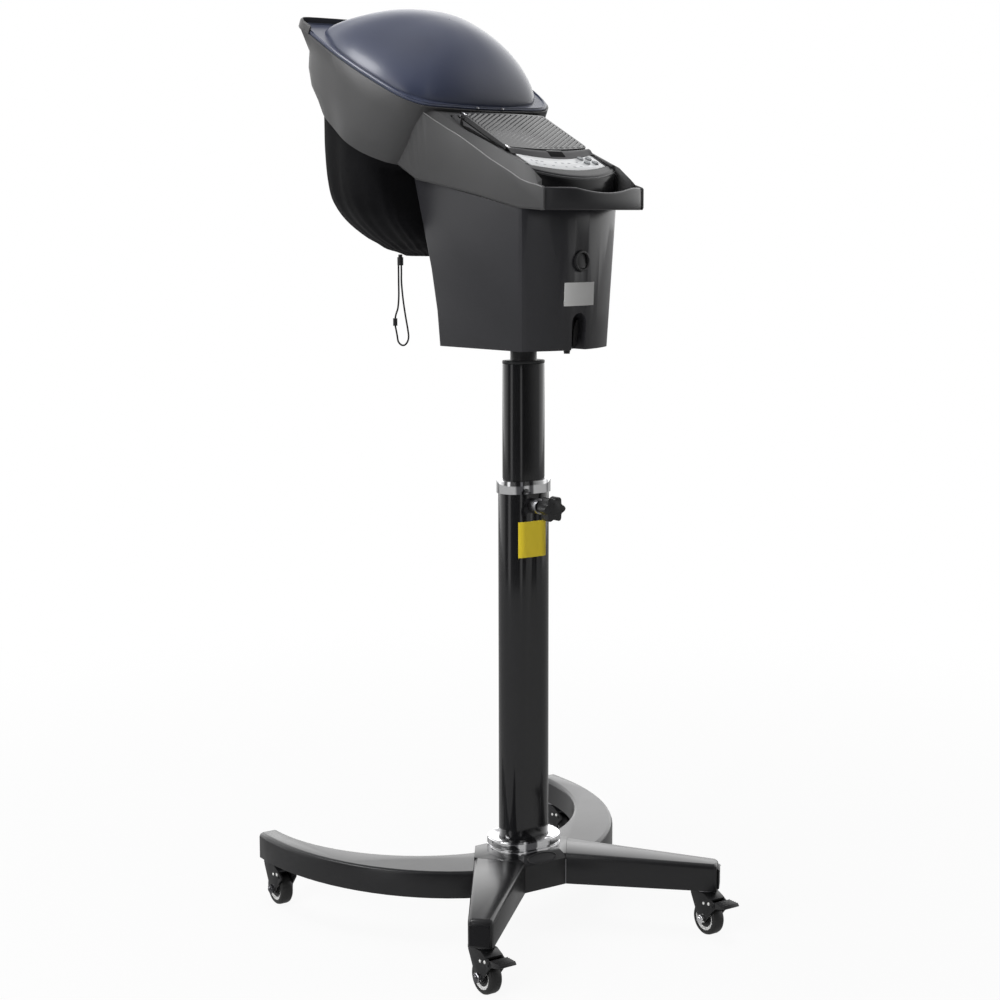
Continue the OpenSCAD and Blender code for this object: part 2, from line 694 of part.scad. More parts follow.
module water_reservoir() {
    color([0.8, 0.82, 0.84]) head() difference() {
        translate([-reservoir_w, reservoir_front, tray_z])
            cube([2 * reservoir_w, reservoir_back - reservoir_front, reservoir_h]);
        translate([-reservoir_w + reservoir_wall, reservoir_front + reservoir_wall,
            tray_z + reservoir_wall])
            cube([2 * (reservoir_w - reservoir_wall), reservoir_back - reservoir_front - 2 * reservoir_wall,
                reservoir_h]);
        for (side = [-1, 1]) translate([side * coil_half, 0, coil_z]) rod_y(coil_d + 2 * fit, 0,
            reservoir_back + eps);
        translate([0, 0, duct_z]) rod_y(duct_d + 2 * fit, 0, reservoir_back + eps);
    }
}

module heating_element() {
    color([0.7, 0.5, 0.35]) head() translate([0, 0, coil_z]) {
        for (side = [-1, 1]) translate([side * coil_half, 0, 0]) rod_y(coil_d, coil_front,
            reservoir_back + 12);
        translate([0, coil_front, 0]) rotate([0, 0, 180]) rotate_extrude(angle = 180)
            translate([coil_half, 0]) circle(d = coil_d);
    }
}

duct_d = 30;
duct_wall = 2;
duct_z = tray_z + reservoir_h - 22;
duct_turn_y = 66;

// Radius of the duct's two bends, and the length that the upper one takes from each straight
duct_bend = 20;
duct_tangent = duct_bend * tan((90 - hood_tilt) / 2);
duct_sides = 40;
// Places along the duct, across the head's middle plane, each with its direction: it leaves the
// reservoir's rear wall, turns up behind it and runs to the hood
function duct_line(more) = concat(
    [[reservoir_back - reservoir_wall - more, duct_z, 0]],
    [for (a = [0 : 18 : 90]) [duct_turn_y - duct_bend + duct_bend * sin(a),
        duct_z + duct_bend - duct_bend * cos(a), a]],
    [for (i = [0 : 4]) let (a = 90 - duct_lean * i / 4)
        [duct_turn_y + duct_bend - duct_bend * sin(a), duct_z + duct_up - duct_tangent
            + duct_bend * cos(a), a]],
    [[duct_turn_y + (duct_run + more) * cos(hood_tilt), duct_z + duct_up + (duct_run + more) *
        sin(hood_tilt), hood_tilt]]);
module duct_path(d, more) skin([for (q = duct_line(more)) [for (k = [0 : duct_sides - 1])
    let (t = 360 * k / duct_sides) [-d / 2 * cos(t), q[0] - d / 2 * sin(t) * sin(q[2]),
        q[1] + d / 2 * sin(t) * cos(q[2])]]]);
// The duct's upper part runs along the hood's rim, half way down the hood's band
duct_lean = 90 - hood_tilt;
duct_mid = band_h / 2;
duct_hole = [hood_y + duct_mid * sin(hood_tilt), hood_z - duct_mid * cos(hood_tilt)];
duct_up = duct_hole[1] - (duct_hole[0] - duct_turn_y) * tan(hood_tilt) - duct_z;
duct_run = (duct_hole[0] - duct_turn_y) / cos(hood_tilt) - 3;

module steam_duct() {
    color([0.75, 0.75, 0.72]) head() difference() {
        duct_path(duct_d, 0);
        duct_path(duct_d - 2 * duct_wall, 5);
    }
}

// Mains inlet at the back of the tank
inlet_w = 28;
inlet_h = 22;
inlet_z = tank_z + 40;
module mains_inlet() {
    y = tank_back(inlet_z);
    color([0.05, 0.05, 0.05]) head() difference() {
        union() {
            translate([-inlet_w / 2, y - 24, inlet_z - inlet_h / 2]) cube([inlet_w, 26, inlet_h]);
            difference() {
                translate([-inlet_w / 2 - 5, y - 2, inlet_z - inlet_h / 2 - 5]) cube([inlet_w + 10, 6,
                    inlet_h + 10]);
                tank_solid(-fit);
            }
        }
        translate([-inlet_w / 2 + 2, y - 16, inlet_z - inlet_h / 2 + 2]) cube([inlet_w - 4, 30,
            inlet_h - 4]);
    }
}

// Power switch
rocker_d = switch_d - 6.4;
module switch_bezel() {
    y = tank_front(switch_z);
    color([0.05, 0.05, 0.05]) head() translate([0, 0, switch_z]) difference() {
        union() {
            difference() {
                rod_y(switch_d, y - 3, y + 6);
                translate([0, 0, -switch_z]) tank_solid(-fit);
            }
            rod_y(switch_d - 3, y, y + 16);
        }
        rod_y(rocker_d + 0.8, y - 10, y + 13);
    }
}

module power_rocker() {
    y = tank_front(switch_z) + 2;
    color([0.04, 0.04, 0.04]) head() translate([0, y, switch_z]) rotate([rocker_rest, 0, 0]) difference() {
        rod_y(rocker_d - 0.8, -3.5, 3.5);
        translate([0, -3.5 - 40 + 1.6, 0]) rotate([0, 90, 0]) cylinder(r = 40, h = rocker_d * 2,
            center = true);
    }
}
rocker_rest = -6;

// Drain
hose_x = -drain_w / 2 + hose_d / 2 + 1.5;
hose_y = tank_front(tank_z) + recess_depth - hose_d / 2 - 4;
hose_low = tank_z - 3;
hose_top = tank_z + drain_h - 14;
plug_d = hose_d - 3;
module drain_hose() {
    color([0.07, 0.07, 0.07]) head() translate([hose_x, hose_y, 0]) {
        difference() {
            translate([0, 0, hose_low]) cylinder(d = hose_d, h = hose_top - hose_low);
            translate([0, 0, hose_low - eps]) cylinder(d = plug_d + 2 * run,
                h = hose_top - hose_low + 2 * eps);
        }
        translate([0, 0, hose_top - 10]) cylinder(d = plug_d, h = 10 + 8);
        translate([0, 0, hose_top]) cylinder(d = hose_d - 1.5, h = 2.5);
    }
}

module drain_plug() {
    color([0.1, 0.1, 0.1]) head() translate([hose_x, hose_y, hose_low]) {
        cylinder(d = plug_d, h = 9);
        translate([0, 0, -2.5]) cylinder(d = hose_d - 0.6, h = 2.5 - fit);
    }
}

module plug_strap() {
    leaf = mirrored([[0, -20], [3.2, -8], [4.4, 4], [2.6, 15], [0, 19]]);
    back_y = tank_front(tank_z) - eps + recess_depth - slide_gap;
    color([0.07, 0.07, 0.07]) head() translate([drain_w / 2 - 7.2, hose_y - 1, tank_z + 22]) {
        rotate([90, 10, 0]) linear_extrude(2.4) polygon(smooth(leaf, 4));
        rod_y(3, -1, back_y - hose_y + 1);
    }
}

// Pod
panel_front = -104;
panel_back = 60;
inner_line = 86;
function panel_z(y) = grip_z + 80 + (y + 53.3) * tan(pod_slope);
function crest_z(y) = grip_z + lookup(y, [[-141, grip_h], [-127, grip_h + 4], [-113, 37], [-96, 42],
    [-76, 52], [-36, 70],
    [4, 91], [46, 112], [67, 125], [86, 139], [120, 160]]);
function flare(y, y0, y1) = pod_w + (pod_rear_w - pod_w) * min(1, max(0, (y - y0) / (y1 - y0))) ^ 1.8;
function crest_w(y) = flare(y, 20, 96);
function low_w(y) = flare(y, -20, 131);
function top_w(y) = crest_w(y) - arm_t;
function top_z(y) = max(crest_z(y), min(hood_z - 5,
    grip_z + lookup(y, [[-141, grip_h], [-104, 58], [-65, 74], [-4, 99], [26, 110], [47, 121], [70, 135],
        [86, 143]])));
arm_t = pod_w - inner_line;

function pod_section(y, inset, low, drop) = let (cw = crest_w(y) - inset, lw = low_w(y) - inset,
        tw = top_w(y) - inset, z0 = pod_low(y) + low, z1 = crest_z(y) - drop, z2 = top_z(y) + 0.2 - drop)
    [[-lw + 2, y, z0], [-lw, y, z0 + 3], [-cw, y, z1 - 2], [-cw + 2, y, z1], [-tw, y, z2],
        [tw, y, z2], [cw - 2, y, z1], [cw, y, z1 - 2], [lw, y, z0 + 3], [lw - 2, y, z0]];
pod_stations = concat([-grip_y, -127, -113, -104, -91, -76, -54, -36, -20, -4, 8],
    [for (y = [20 : 8 : 148]) y], [150]);

module pod_solid() skin([for (y = pod_stations) pod_section(y, 0, 0, 0)]);
module pod_hollow() skin([for (y = concat([panel_front + 6], [for (q = pod_stations) if (q > panel_front +
    6) q], [151]))
    pod_section(y, shell_wall, shell_wall, shell_wall)]);

module on_slope(y) translate([0, y, panel_z(y)]) rotate([pod_slope, 0, 0]) children();
// Distances along the slope, measured from the panel's front edge
panel_len = (panel_back - panel_front) / cos(pod_slope);

module pod_shell() {
    color([0.27, 0.27, 0.28]) head() difference() {
        pod_solid();
        pod_hollow();
        translate([-pod_w + arm_t, -grip_y - eps, grip_z - eps])
            cube([2 * (pod_w - arm_t), grip_y + panel_front + 11, grip_h + 60]);
        translate([-pod_w + shell_wall, -grip_y - eps, grip_z - eps])
            cube([2 * (pod_w - shell_wall), grip_end + eps, grip_h + 60]);
        on_slope(panel_front) translate([-panel_w - fit, -20, -panel_side - fit])
            cube([2 * (panel_w + fit), panel_len + 20, panel_side + fit + 48]);
        skin([tank_rim(shell_wall, -20), tank_rim(shell_wall, 22)], strips = true);
        hood_frame() band_solid(fit);
        hood_frame() skin([hood_loop(low_half, -band_h - 15, -fit),
            hood_loop(low_half, -band_h + 1, -fit)]);
        translate([0, duct_turn_y, duct_z + duct_up]) rotate([-duct_lean, 0, 0])
            cylinder(d = duct_d + 2 * fit, h = 200);
    }
}

// Handle between the pod's arms
grip_end = 14;
module grip_handle() {
    w = pod_w - shell_wall - fit;
    steps = 16;
    bow = [for (i = [0 : steps]) -1 + 2 * i / steps];
    color([0.07, 0.07, 0.08]) head() skin([for (f = bow)
        let (x = f * w, y = -grip_y - grip_bow * (1 - f * f) + 0.5, top = grip_z + grip_h
            - grip_dip * (1 - min(1, abs(f - 0.1) / 0.62) ^ 2) , back = y + grip_end - 1)
        [[x, y + 2, grip_z], [x, back - 2, grip_z], [x, back, grip_z + 2], [x, back, top - 3],
            [x, back - 3, top], [x, y + 2, top], [x, y, top - 2], [x, y, grip_z + 2]]]);
}

// Panel that holds the keypad and the filler opening, with the wall behind the handle
panel_w = lid_w + 2;
panel_t = 3;
panel_drop = 3;
panel_side = 26;
mouth_w = 60;
mouth_front = 70;
mouth_back = 146;
lid_front = 54;
lid_back = panel_len - 17;
keypad_w = 71;
keypad_front = 15;
keypad_back = 49;
keypad_bow = 14;
keypad_t = 1.6;
// How far in front of the panel's straight edge its bowed edge may reach along the slope
panel_nose = 40;
nose_z = grip_z + 44;
// The tank's front wall carried up, as the panel's front edge: across and towards the operator
function nose_y(x) = -tank_w(nose_z) - tank_bulge * (1 - (x / tank_w(nose_z)) ^ 2);
module nose_plan(w, inset, depth) polygon(concat([for (i = [-12 : 12]) [w * i / 12,
    nose_y(w * i / 12) + inset]],
    [for (i = [12 : -1 : -12]) [w * i / 12, depth == 0 ? panel_back : nose_y(w * i / 12) + inset +
        depth]]));
module top_panel() {
    wall_w = pod_w - arm_t - fit;
    wall_low = grip_z + 2.4 + fit;
    color([0.16, 0.16, 0.17]) head() {
        difference() {
            intersection() {
                on_slope(panel_front) union() {
                    translate([-panel_w, -panel_nose, -panel_t - panel_drop])
                        cube([2 * panel_w, panel_nose + panel_len - 6, panel_t]);
                    translate([-panel_w, -panel_nose, -panel_drop - panel_t])
                        cube([2 * panel_w, panel_nose + lid_front - 2, panel_drop + panel_t - keypad_t]);
                    for (side = [-1, 1]) translate([side * (panel_w - 1) - 1, 3, -panel_side])
                        cube([2, panel_len - 9, panel_side - panel_drop]);
                    for (side = [-1, 1]) for (v = [20, 40])
                        translate([side * 50, v, -panel_drop - panel_t - 9]) cylinder(d = 6, h = 9.5);
                }
                translate([0, 0, wall_low]) linear_extrude(200) nose_plan(panel_w, 0, 0);
            }
            on_slope(panel_front) {
                translate([-mouth_w, mouth_front, -20]) cube([2 * mouth_w, mouth_back - mouth_front, 40]);
                translate([-lid_w - 1, hinge_v - 3, -20]) cube([2 * lid_w + 2, hinge_swing + 4, 40]);
                for (b = buttons) translate([b[0], b[1], -30]) cylinder(d = button_d - 3 + 2 * 0.3, h = 40);
            }
        }
        difference() {
            translate([0, 0, wall_low]) linear_extrude(200) nose_plan(wall_w, 0, panel_t);
            on_slope(panel_front) translate([-panel_w - 20, -panel_nose * 2, -panel_drop - panel_t + 0.5])
                cube([2 * panel_w + 40, panel_nose * 4, 200]);
        }
    }
}

// Places of the buttons on the panel, across and up the slope
buttons = [for (row = [0, 1]) for (col = [0, 1]) [40 + 16 * col + 3 * row, 36 - 12 * row]];

module keypad_plate() {
    color([0.86, 0.87, 0.88]) head() on_slope(panel_front) difference() {
        translate([0, 0, -keypad_t + fit]) linear_extrude(keypad_t) polygon(concat(
            [for (i = [-6 : 6]) [keypad_w * i / 6, keypad_front - keypad_bow * (1 - i * i / 36)]],
            [for (i = [6 : -1 : -6]) [keypad_w * i / 6, keypad_back - keypad_bow * (1 - i * i / 36)]]));
        for (b = buttons) translate([b[0], b[1], -5]) cylinder(d = button_d + 2 * 0.3, h = 10);
    }
}

button_lift = 1.5;
module button(i) {
    color([0.25, 0.27, 0.3]) head() on_slope(panel_front) translate([buttons[i][0], buttons[i][1], 0]) {
        translate([0, 0, 0.4]) cylinder(d = button_d, h = button_lift);
        translate([0, 0, -panel_drop - panel_t - 4]) cylinder(d = button_d - 3,
            h = panel_drop + panel_t + 4.5);
    }
}
module button_1() button(0);
module button_2() button(1);
module button_3() button(2);
module button_4() button(3);

module circuit_board() {
    color([0.1, 0.35, 0.2]) head() on_slope(panel_front)
        translate([-62, 10, -panel_drop - panel_t - 9 - 1.6 - fit]) cube([124, 38, 1.6]);
}

// Lid over the filler opening
hinge_d = 3;
hinge_v = lid_back - 3;
hinge_h = 0.5;
lid_low = -panel_drop + 0.6;
// Radius that the lid's rear edge sweeps as it opens
hinge_swing = norm([lid_back - hinge_v, lid_low + lid_t - hinge_h]);
module filler_lid() {
    outline = concat([for (i = [-8 : 8]) [lid_w * i / 8, lid_front + 9 * i * i / 64]],
        [[lid_w, lid_back], [-lid_w, lid_back]]);
    color([0.22, 0.22, 0.23]) head() on_slope(panel_front) difference() {
        union() {
            translate([0, 0, lid_low]) linear_extrude(lid_t) polygon(outline);
            translate([0, hinge_v, hinge_h]) rod_x(hinge_d + 2.8, -lid_w, lid_w);
        }
        translate([0, hinge_v, hinge_h]) rod_x(hinge_d + 2 * run, -lid_w - eps, lid_w + eps);
        translate([-lid_w + 3, lid_front + 13, lid_low - 10]) cube([2 * lid_w - 6,
            lid_back - lid_front - 23, 10 + lid_t - 3]);
    }
}

module lid_hinge_pin() {
    color([0.7, 0.7, 0.72]) head() on_slope(panel_front) translate([0, hinge_v, hinge_h])
        rod_x(hinge_d, -panel_w + 0.1, panel_w - 0.1);
}

// Hood, drawn in its own frame: X across, Y along the rim towards the back, Z out through the dome
module hood_frame() translate([0, hood_y, hood_z]) rotate([hood_tilt, 0, 0]) children();
// Right halves of the band's outlines, from the front centre to the rear centre, and their depths
rim_half = [[0, -17], [65, -14], [110, -10], [131, 2], [146, 27], [157, 85], [162, 145], [160, 190],
    [156, 231], [151, 262], [118, 269], [0, 271]];
neck_half = [[0, -14], [64, -12], [108, -9], [130, 0], [146, 24], [158, 65], [163, 115], [161, 160],
    [156, 200], [143, 233], [102, 244], [0, 248]];
waist_half = [[0, -11], [62, -10], [105, -7], [129, 1], [145, 20], [159, 55], [164, 100], [162, 145],
    [157, 188], [144, 224], [98, 239], [0, 243]];
belly_half = [[0, -8], [60, -8], [102, -5], [126, 2], [143, 17], [160, 47], [165, 88], [160, 130],
    [153, 175], [138, 213], [90, 226], [0, 231]];
low_half = [[0, -6], [60, -6], [100, -4], [124, 3], [142, 14], [160, 40], [165, 75], [156, 115],
    [144, 160], [122, 192], [80, 206], [0, 210]];
outline_steps = 3;
function hood_loop(half, w, inset) = [for (p = smooth(mirrored(half), outline_steps))
    let (c = [0, 125], d = (p - c) / norm(p - c)) [p[0] - d[0] * inset, p[1] - d[1] * inset, w]];

module band_form(inset, over) skin([hood_loop(low_half, -band_h - over, inset),
    hood_loop(belly_half, -68, inset),
    hood_loop(waist_half, -45, inset), hood_loop(neck_half, -24, inset), hood_loop(rim_half, over, inset)]);
module band_solid(grow) band_form(-grow, 0);

module hood_band() {
    color([0.25, 0.25, 0.26]) head() hood_frame() difference() {
        union() {
            band_solid(0);
            skin([hood_loop(rim_half, -2, 0), hood_loop(rim_half, lip_h - 2, 0),
                hood_loop(rim_half, lip_h, 1.5)]);
        }
        band_form(shell_wall, eps);
        skin([hood_loop(rim_half, -0.5, shell_wall), hood_loop(rim_half, lip_h + eps, shell_wall)]);
        translate([-200, -100, 0]) cube([400, 100 + lip_start, 100]);
        translate([0, 0, -duct_mid]) rod_y(duct_d + 2 * fit, -60, 40);
    }
}
// Distance along the rim at which the lip begins
lip_start = 230;

// Dome with its flange, which is one clear moulding
flange_t = 2.5;
dome_v = 123;
// Share of the rim's outline at which the dome begins, and the roundness of its outline higher up
dome_share = 0.915;
crown_power = 2.5;
// How much of the rim's squareness the dome's foot keeps
dome_square = 0.45;
function dome_loop(s, w, inset) = [for (p = smooth(mirrored(rim_half), outline_steps))
    let (q = (p - [0, 125]) * dome_share + [0, 125 - dome_v], u = q / norm(q),
        r = (abs(u[0] / dome_w) ^ crown_power + abs(u[1] / dome_len) ^ crown_power) ^ (-1 / crown_power),
        d = u * (mix(r, norm(q), dome_square * s ^ 5) * s - inset)) [d[0], dome_v + d[1], w]];
dome_rings = 9;
module dome_cap(height, wall) {
    skin([for (i = [0 : dome_rings]) let (s = cos(90 * i / (dome_rings + 0.4)))
        dome_loop(s, flange_t - eps + (height + eps) * (1 - s ^ 2) ^ (1 / 1.45), wall)]);
}

module dome() {
    color([0.30, 0.32, 0.42, 0.75]) head() hood_frame() difference() {
        union() {
            skin([hood_loop(rim_half, fit, shell_wall + 0.3), hood_loop(rim_half, flange_t,
                shell_wall + 0.3)]);
            dome_cap(dome_h - flange_t, 0);
        }
        translate([0, 0, -dome_wall]) dome_cap(dome_h - flange_t, dome_wall);
    }
}

module steam_ring() {
    color([0.6, 0.6, 0.6]) head() hood_frame() difference() {
        union() {
            translate([-60, 0, -duct_mid - 20]) cube([120, 10, 40]);
            translate([0, 0, -duct_mid]) rod_y(duct_d - 2 * duct_wall - 2 * fit, -10, 5);
        }
        translate([-57, 3, -duct_mid - 17]) cube([114, 4, 34]);
        translate([0, 0, -duct_mid]) rod_y(duct_d - 2 * duct_wall - 6, -11, 5);
        for (x = [-45 : 15 : 45]) for (z = [-10, 0, 10]) translate([x, 0, -duct_mid + z]) rod_y(5, 5, 20);
    }
}

// Bonnet, a cloth bag that hangs from the hood's lower edge and is drawn in at the bottom
bonnet_y = 190;
bonnet_rows = 8;
bonnet_sides = 60;
bonnet_tuck = 14;
bonnet_seam = 0.3;
bonnet_hem = 1.6;
// Bag's radius by height above its lower edge
function bag_r(h) = lookup(h, [[0, 46], [5, 56], [10, 73], [19, 88], [26, 101], [44, 124], [61, 140],
    [82, 153],
    [111, 161], [155, 166], [201, 168]]);
// How far the bag's cloth may reach forward towards the tank's rear wall, by height
function bag_reach(z) = bonnet_y - tank_back(z) - 12
    + lookup(z, [[grip_z + 56, 0], [grip_z + 66, 14], [grip_z + 74, 24]]);
function soft_limit(a, most) = a / (1 + (a / most) ^ 4) ^ 0.25;

function to_head(p) = [p[0], hood_y + p[1] * cos(hood_tilt) - p[2] * sin(hood_tilt),
    hood_z + p[1] * sin(hood_tilt) + p[2] * cos(hood_tilt)];
bonnet_loop = hood_loop(low_half, 0, shell_wall + bonnet_seam + 0.6);
function bonnet_at(i, w, inset) = let (n = len(bonnet_loop), f = i * n / bonnet_sides, j = floor(f),
        q = mix(bonnet_loop[j % n], bonnet_loop[(j + 1) % n], f - j), d = [q[0], q[1] - 125, 0])
    to_head(q - d / norm(d) * inset + [0, 0, w]);
function bonnet_top(i, inset) = bonnet_at(i, -band_h + bonnet_tuck, inset + bonnet_hem);
function bonnet_neck(i, inset) = bonnet_at(i, -band_h - 1, inset);
function bonnet_point(i, t, inset) = let (top = bonnet_neck(i, 0), a = atan2(top[1] - bonnet_y, top[0]),
        z = bonnet_z + (top[2] - bonnet_z) * (1 - sin(90 * t)), grow = norm([top[0], top[1] - bonnet_y])
            / bag_r(top[2] - bonnet_z), r0 = bag_r(z - bonnet_z) * mix(grow, 1, min(1, 2.5 * t)),
        r = r0 - inset + fold_depth * (cos(bonnet_folds * a) - 0.3) * sin(90 * min(1, 1.5 * t)))
    [r * cos(a), bonnet_y + (a > 0 ? r * sin(a) : -soft_limit(-r * sin(a), bag_reach(z) - inset)),
        z + inset * t];

module bonnet() {
    n = bonnet_sides;
    m = 2 * (bonnet_rows + 2);
    points = [for (i = [0 : n - 1]) each concat(
        [bonnet_top(i, 0), bonnet_neck(i, 0)],
        [for (j = [1 : bonnet_rows]) bonnet_point(i, j / bonnet_rows, 0)],
        [for (j = [bonnet_rows : -1 : 1]) bonnet_point(i, j / bonnet_rows, bonnet_t)],
        [bonnet_neck(i, bonnet_t), bonnet_top(i, bonnet_t)])];
    faces = [for (i = [0 : n - 1]) for (k = [0 : m - 1])
        let (a = i * m + k, b = i * m + (k + 1) % m, c = (i + 1) % n * m + (k + 1) % m,
            d = (i + 1) % n * m + k)
        each [[a, d, c], [a, c, b]]];
    color([0.07, 0.07, 0.08]) head() polyhedron(points, faces);
}

// Drawcord with its lock under the bonnet's edge; its two strands meet in a bead
lock = [-41, 223, 971.8];
bead = [-47, 229, 882];
strand_route = [[-43, 225, 965.8], [-43, 225, 955], [-43, 225, 940], [-43, 225, 920], [-44, 226, 903],
    [-46, 228, 894],
    [-47, 229, 887.7]];
loop_route = [[-40, 222, 965.8], [-40, 222, 955], [-40, 222, 940], [-38, 221, 915], [-36, 218, 890],
    [-34, 216, 873],
    [-33, 215, 860], [-34, 217, 852], [-37, 220, 847.5], [-41, 223, 848], [-44, 226, 853], [-45, 227, 861],
    [-46, 228, 869], [-47, 229, 876.3]];
module cord_lock() {
    color([0.05, 0.05, 0.05]) head() translate(lock) {
        translate([0, 0, -5.9]) cylinder(d = 9, h = 12);
        translate([0, 0, 6.1]) cylinder(d = 6, h = 4);
    }
}

function along(p, i, t) = let (n = len(p), a = p[max(i - 1, 0)], b = p[i], c = p[min(i + 1, n - 1)],
        d = p[min(i + 2, n - 1)])
    0.5 * (2 * b + (c - a) * t + (2 * a - 5 * b + 4 * c - d) * t * t + (3 * b - a - 3 * c + d) * t * t * t);
cord_steps = 3;
cord_sides = 8;
// Cord through the points of a route, whose ends stand upright
module cord(route, last_up) {
    n = len(route);
    line = concat([for (i = [0 : n - 2]) for (k = [0 : cord_steps - 1]) along(route, i, k / cord_steps)],
        [route[n - 1]]);
    last = len(line) - 1;
    rings = [for (i = [0 : last]) let (d = i == 0 ? [0, 0, -1] : i == last ? [0, 0, last_up]
            : line[i + 1] - line[i - 1], u = d / norm(d), s = cross([0.7, 0.7, 0], u), e = s / norm(s),
                f = cross(u, e))
        [for (k = [0 : cord_sides - 1]) line[i] + cord_d / 2 * (e * cos(360 * k / cord_sides) + f *
            sin(360 * k / cord_sides))]];
    color([0.05, 0.05, 0.05]) head() skin(rings);
}
module drawcord_strand() cord(strand_route, -1);
module drawcord_loop() cord(loop_route, 1);

module cord_bead() { color([0.05, 0.05, 0.05]) head() translate(bead) translate([0, 0,
    -5.6]) cylinder(d = 6.5, h = 11.2); }

base_hub();
crescent();
left_leg();
right_leg();
base_collar();
outer_tube();
clamp_collar();
guide_bush();
clamp_boss();
clamp_screw();
clamp_knob();
caster_stems();
front_left_fork();
front_left_wheel();
front_left_tyre();
front_left_pedal();
front_right_fork();
front_right_wheel();
front_right_tyre();
front_right_pedal();
rear_left_fork();
rear_left_wheel();
rear_left_tyre();
rear_right_fork();
rear_right_wheel();
rear_right_tyre();
inner_tube();
tube_glide();
swivel_spigot();
tank_casing();
tank_floor();
swivel_bush();
water_reservoir();
heating_element();
steam_duct();
circuit_board();
mains_inlet();
switch_bezel();
power_rocker();
drain_hose();
drain_plug();
plug_strap();
pod_shell();
grip_handle();
top_panel();
keypad_plate();
button_1();
button_2();
button_3();
button_4();
filler_lid();
lid_hinge_pin();
hood_band();
dome();
steam_ring();
bonnet();
cord_lock();
drawcord_strand();
drawcord_loop();
cord_bead();
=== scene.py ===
# Hair steamer on a rolling stand: looks, in metres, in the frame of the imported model
import json
import math
import bmesh
import bpy
from mathutils import Matrix, Vector, bvhtree, noise

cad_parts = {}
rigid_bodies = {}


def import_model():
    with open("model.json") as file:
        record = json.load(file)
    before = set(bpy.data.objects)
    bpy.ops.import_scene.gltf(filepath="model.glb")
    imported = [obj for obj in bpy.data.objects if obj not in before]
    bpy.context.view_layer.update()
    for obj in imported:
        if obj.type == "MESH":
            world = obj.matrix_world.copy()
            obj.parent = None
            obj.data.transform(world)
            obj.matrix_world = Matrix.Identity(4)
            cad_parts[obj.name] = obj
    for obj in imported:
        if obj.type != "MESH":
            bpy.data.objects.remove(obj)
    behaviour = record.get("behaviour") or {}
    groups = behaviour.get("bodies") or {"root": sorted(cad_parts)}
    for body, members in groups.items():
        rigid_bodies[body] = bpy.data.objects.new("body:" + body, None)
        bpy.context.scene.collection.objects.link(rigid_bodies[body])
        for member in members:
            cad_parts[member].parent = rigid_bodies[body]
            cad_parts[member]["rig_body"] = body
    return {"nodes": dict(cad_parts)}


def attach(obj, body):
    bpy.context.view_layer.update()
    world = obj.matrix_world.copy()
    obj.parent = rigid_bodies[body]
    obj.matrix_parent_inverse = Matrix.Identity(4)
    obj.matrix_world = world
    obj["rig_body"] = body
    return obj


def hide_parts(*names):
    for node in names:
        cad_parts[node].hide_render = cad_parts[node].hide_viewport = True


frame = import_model()
nodes = frame["nodes"]
scene = bpy.context.scene
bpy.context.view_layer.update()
MM = 0.001

# The head is turned on the column, as in the photo
HEAD_TURN = math.radians(8.4)
HEAD = Matrix.Rotation(HEAD_TURN, 4, "Z")

# Camera of the photo: its angles in degrees, its place in metres and its lens in millimetres
CAMERA_ANGLES = (-34.89, 8.398, 0.701, -0.123)
CAMERA_DISTANCE, CAMERA_HEIGHT = 2.774, 1.043
LENS, SENSOR = 70.08, 36


def add_camera():
    azimuth, pitch, yaw, roll = map(math.radians, CAMERA_ANGLES)
    a = azimuth + yaw
    right = Vector((math.cos(a), math.sin(a), 0))
    ahead = Vector((-math.sin(a), math.cos(a), 0)) * math.cos(pitch) - Vector((0, 0, math.sin(pitch)))
    up = right.cross(ahead)
    across = right * math.cos(roll) + up * math.sin(roll)
    upward = up * math.cos(roll) - right * math.sin(roll)
    data = bpy.data.cameras.new("camera")
    data.lens, data.sensor_width = LENS, SENSOR
    cam = bpy.data.objects.new("camera", data)
    cam.matrix_world = Matrix((
        (across.x, upward.x, -ahead.x, math.sin(azimuth) * CAMERA_DISTANCE),
        (across.y, upward.y, -ahead.y, -math.cos(azimuth) * CAMERA_DISTANCE),
        (across.z, upward.z, -ahead.z, CAMERA_HEIGHT),
        (0, 0, 0, 1)))
    scene.collection.objects.link(cam)
    scene.camera = cam


add_camera()


# Meshes
WELD = 2e-6


def keep(obj, body, material, node=None):
    """Puts a finished piece in the scene, on its body, with its material."""
    if obj.name not in scene.collection.objects:
        scene.collection.objects.link(obj)
    obj.data.materials.clear()
    obj.data.materials.append(material)
    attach(obj, body)
    if node:
        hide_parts(node)
    return obj


def new_mesh(name, points, faces, smooth=40):
    """A mesh object with its normals outwards, smooth up to the given angle."""
    mesh = bpy.data.meshes.new(name)
    mesh.from_pydata([tuple(p) for p in points], [], faces)
    mesh.update()
    bm = bmesh.new()
    bm.from_mesh(mesh)
    bmesh.ops.remove_doubles(bm, verts=bm.verts, dist=1e-6)
    bmesh.ops.recalc_face_normals(bm, faces=bm.faces)
    bm.to_mesh(mesh)
    bm.free()
    shade(mesh, smooth)
    return bpy.data.objects.new(name, mesh)



def shade(mesh, angle):
    """Smooth shading, with the edges that turn by more than the angle left sharp."""
    bm = bmesh.new()
    bm.from_mesh(mesh)
    limit = math.radians(angle)
    for f in bm.faces:
        f.smooth = True
    for e in bm.edges:
        e.smooth = len(e.link_faces) == 2 and e.calc_face_angle(0) < limit
    bm.to_mesh(mesh)
    bm.free()


def baked(obj):
    """The object's final mesh, with its modifiers."""
    graph = bpy.context.evaluated_depsgraph_get()
    graph.update()
    return bpy.data.meshes.new_from_object(obj.evaluated_get(graph))


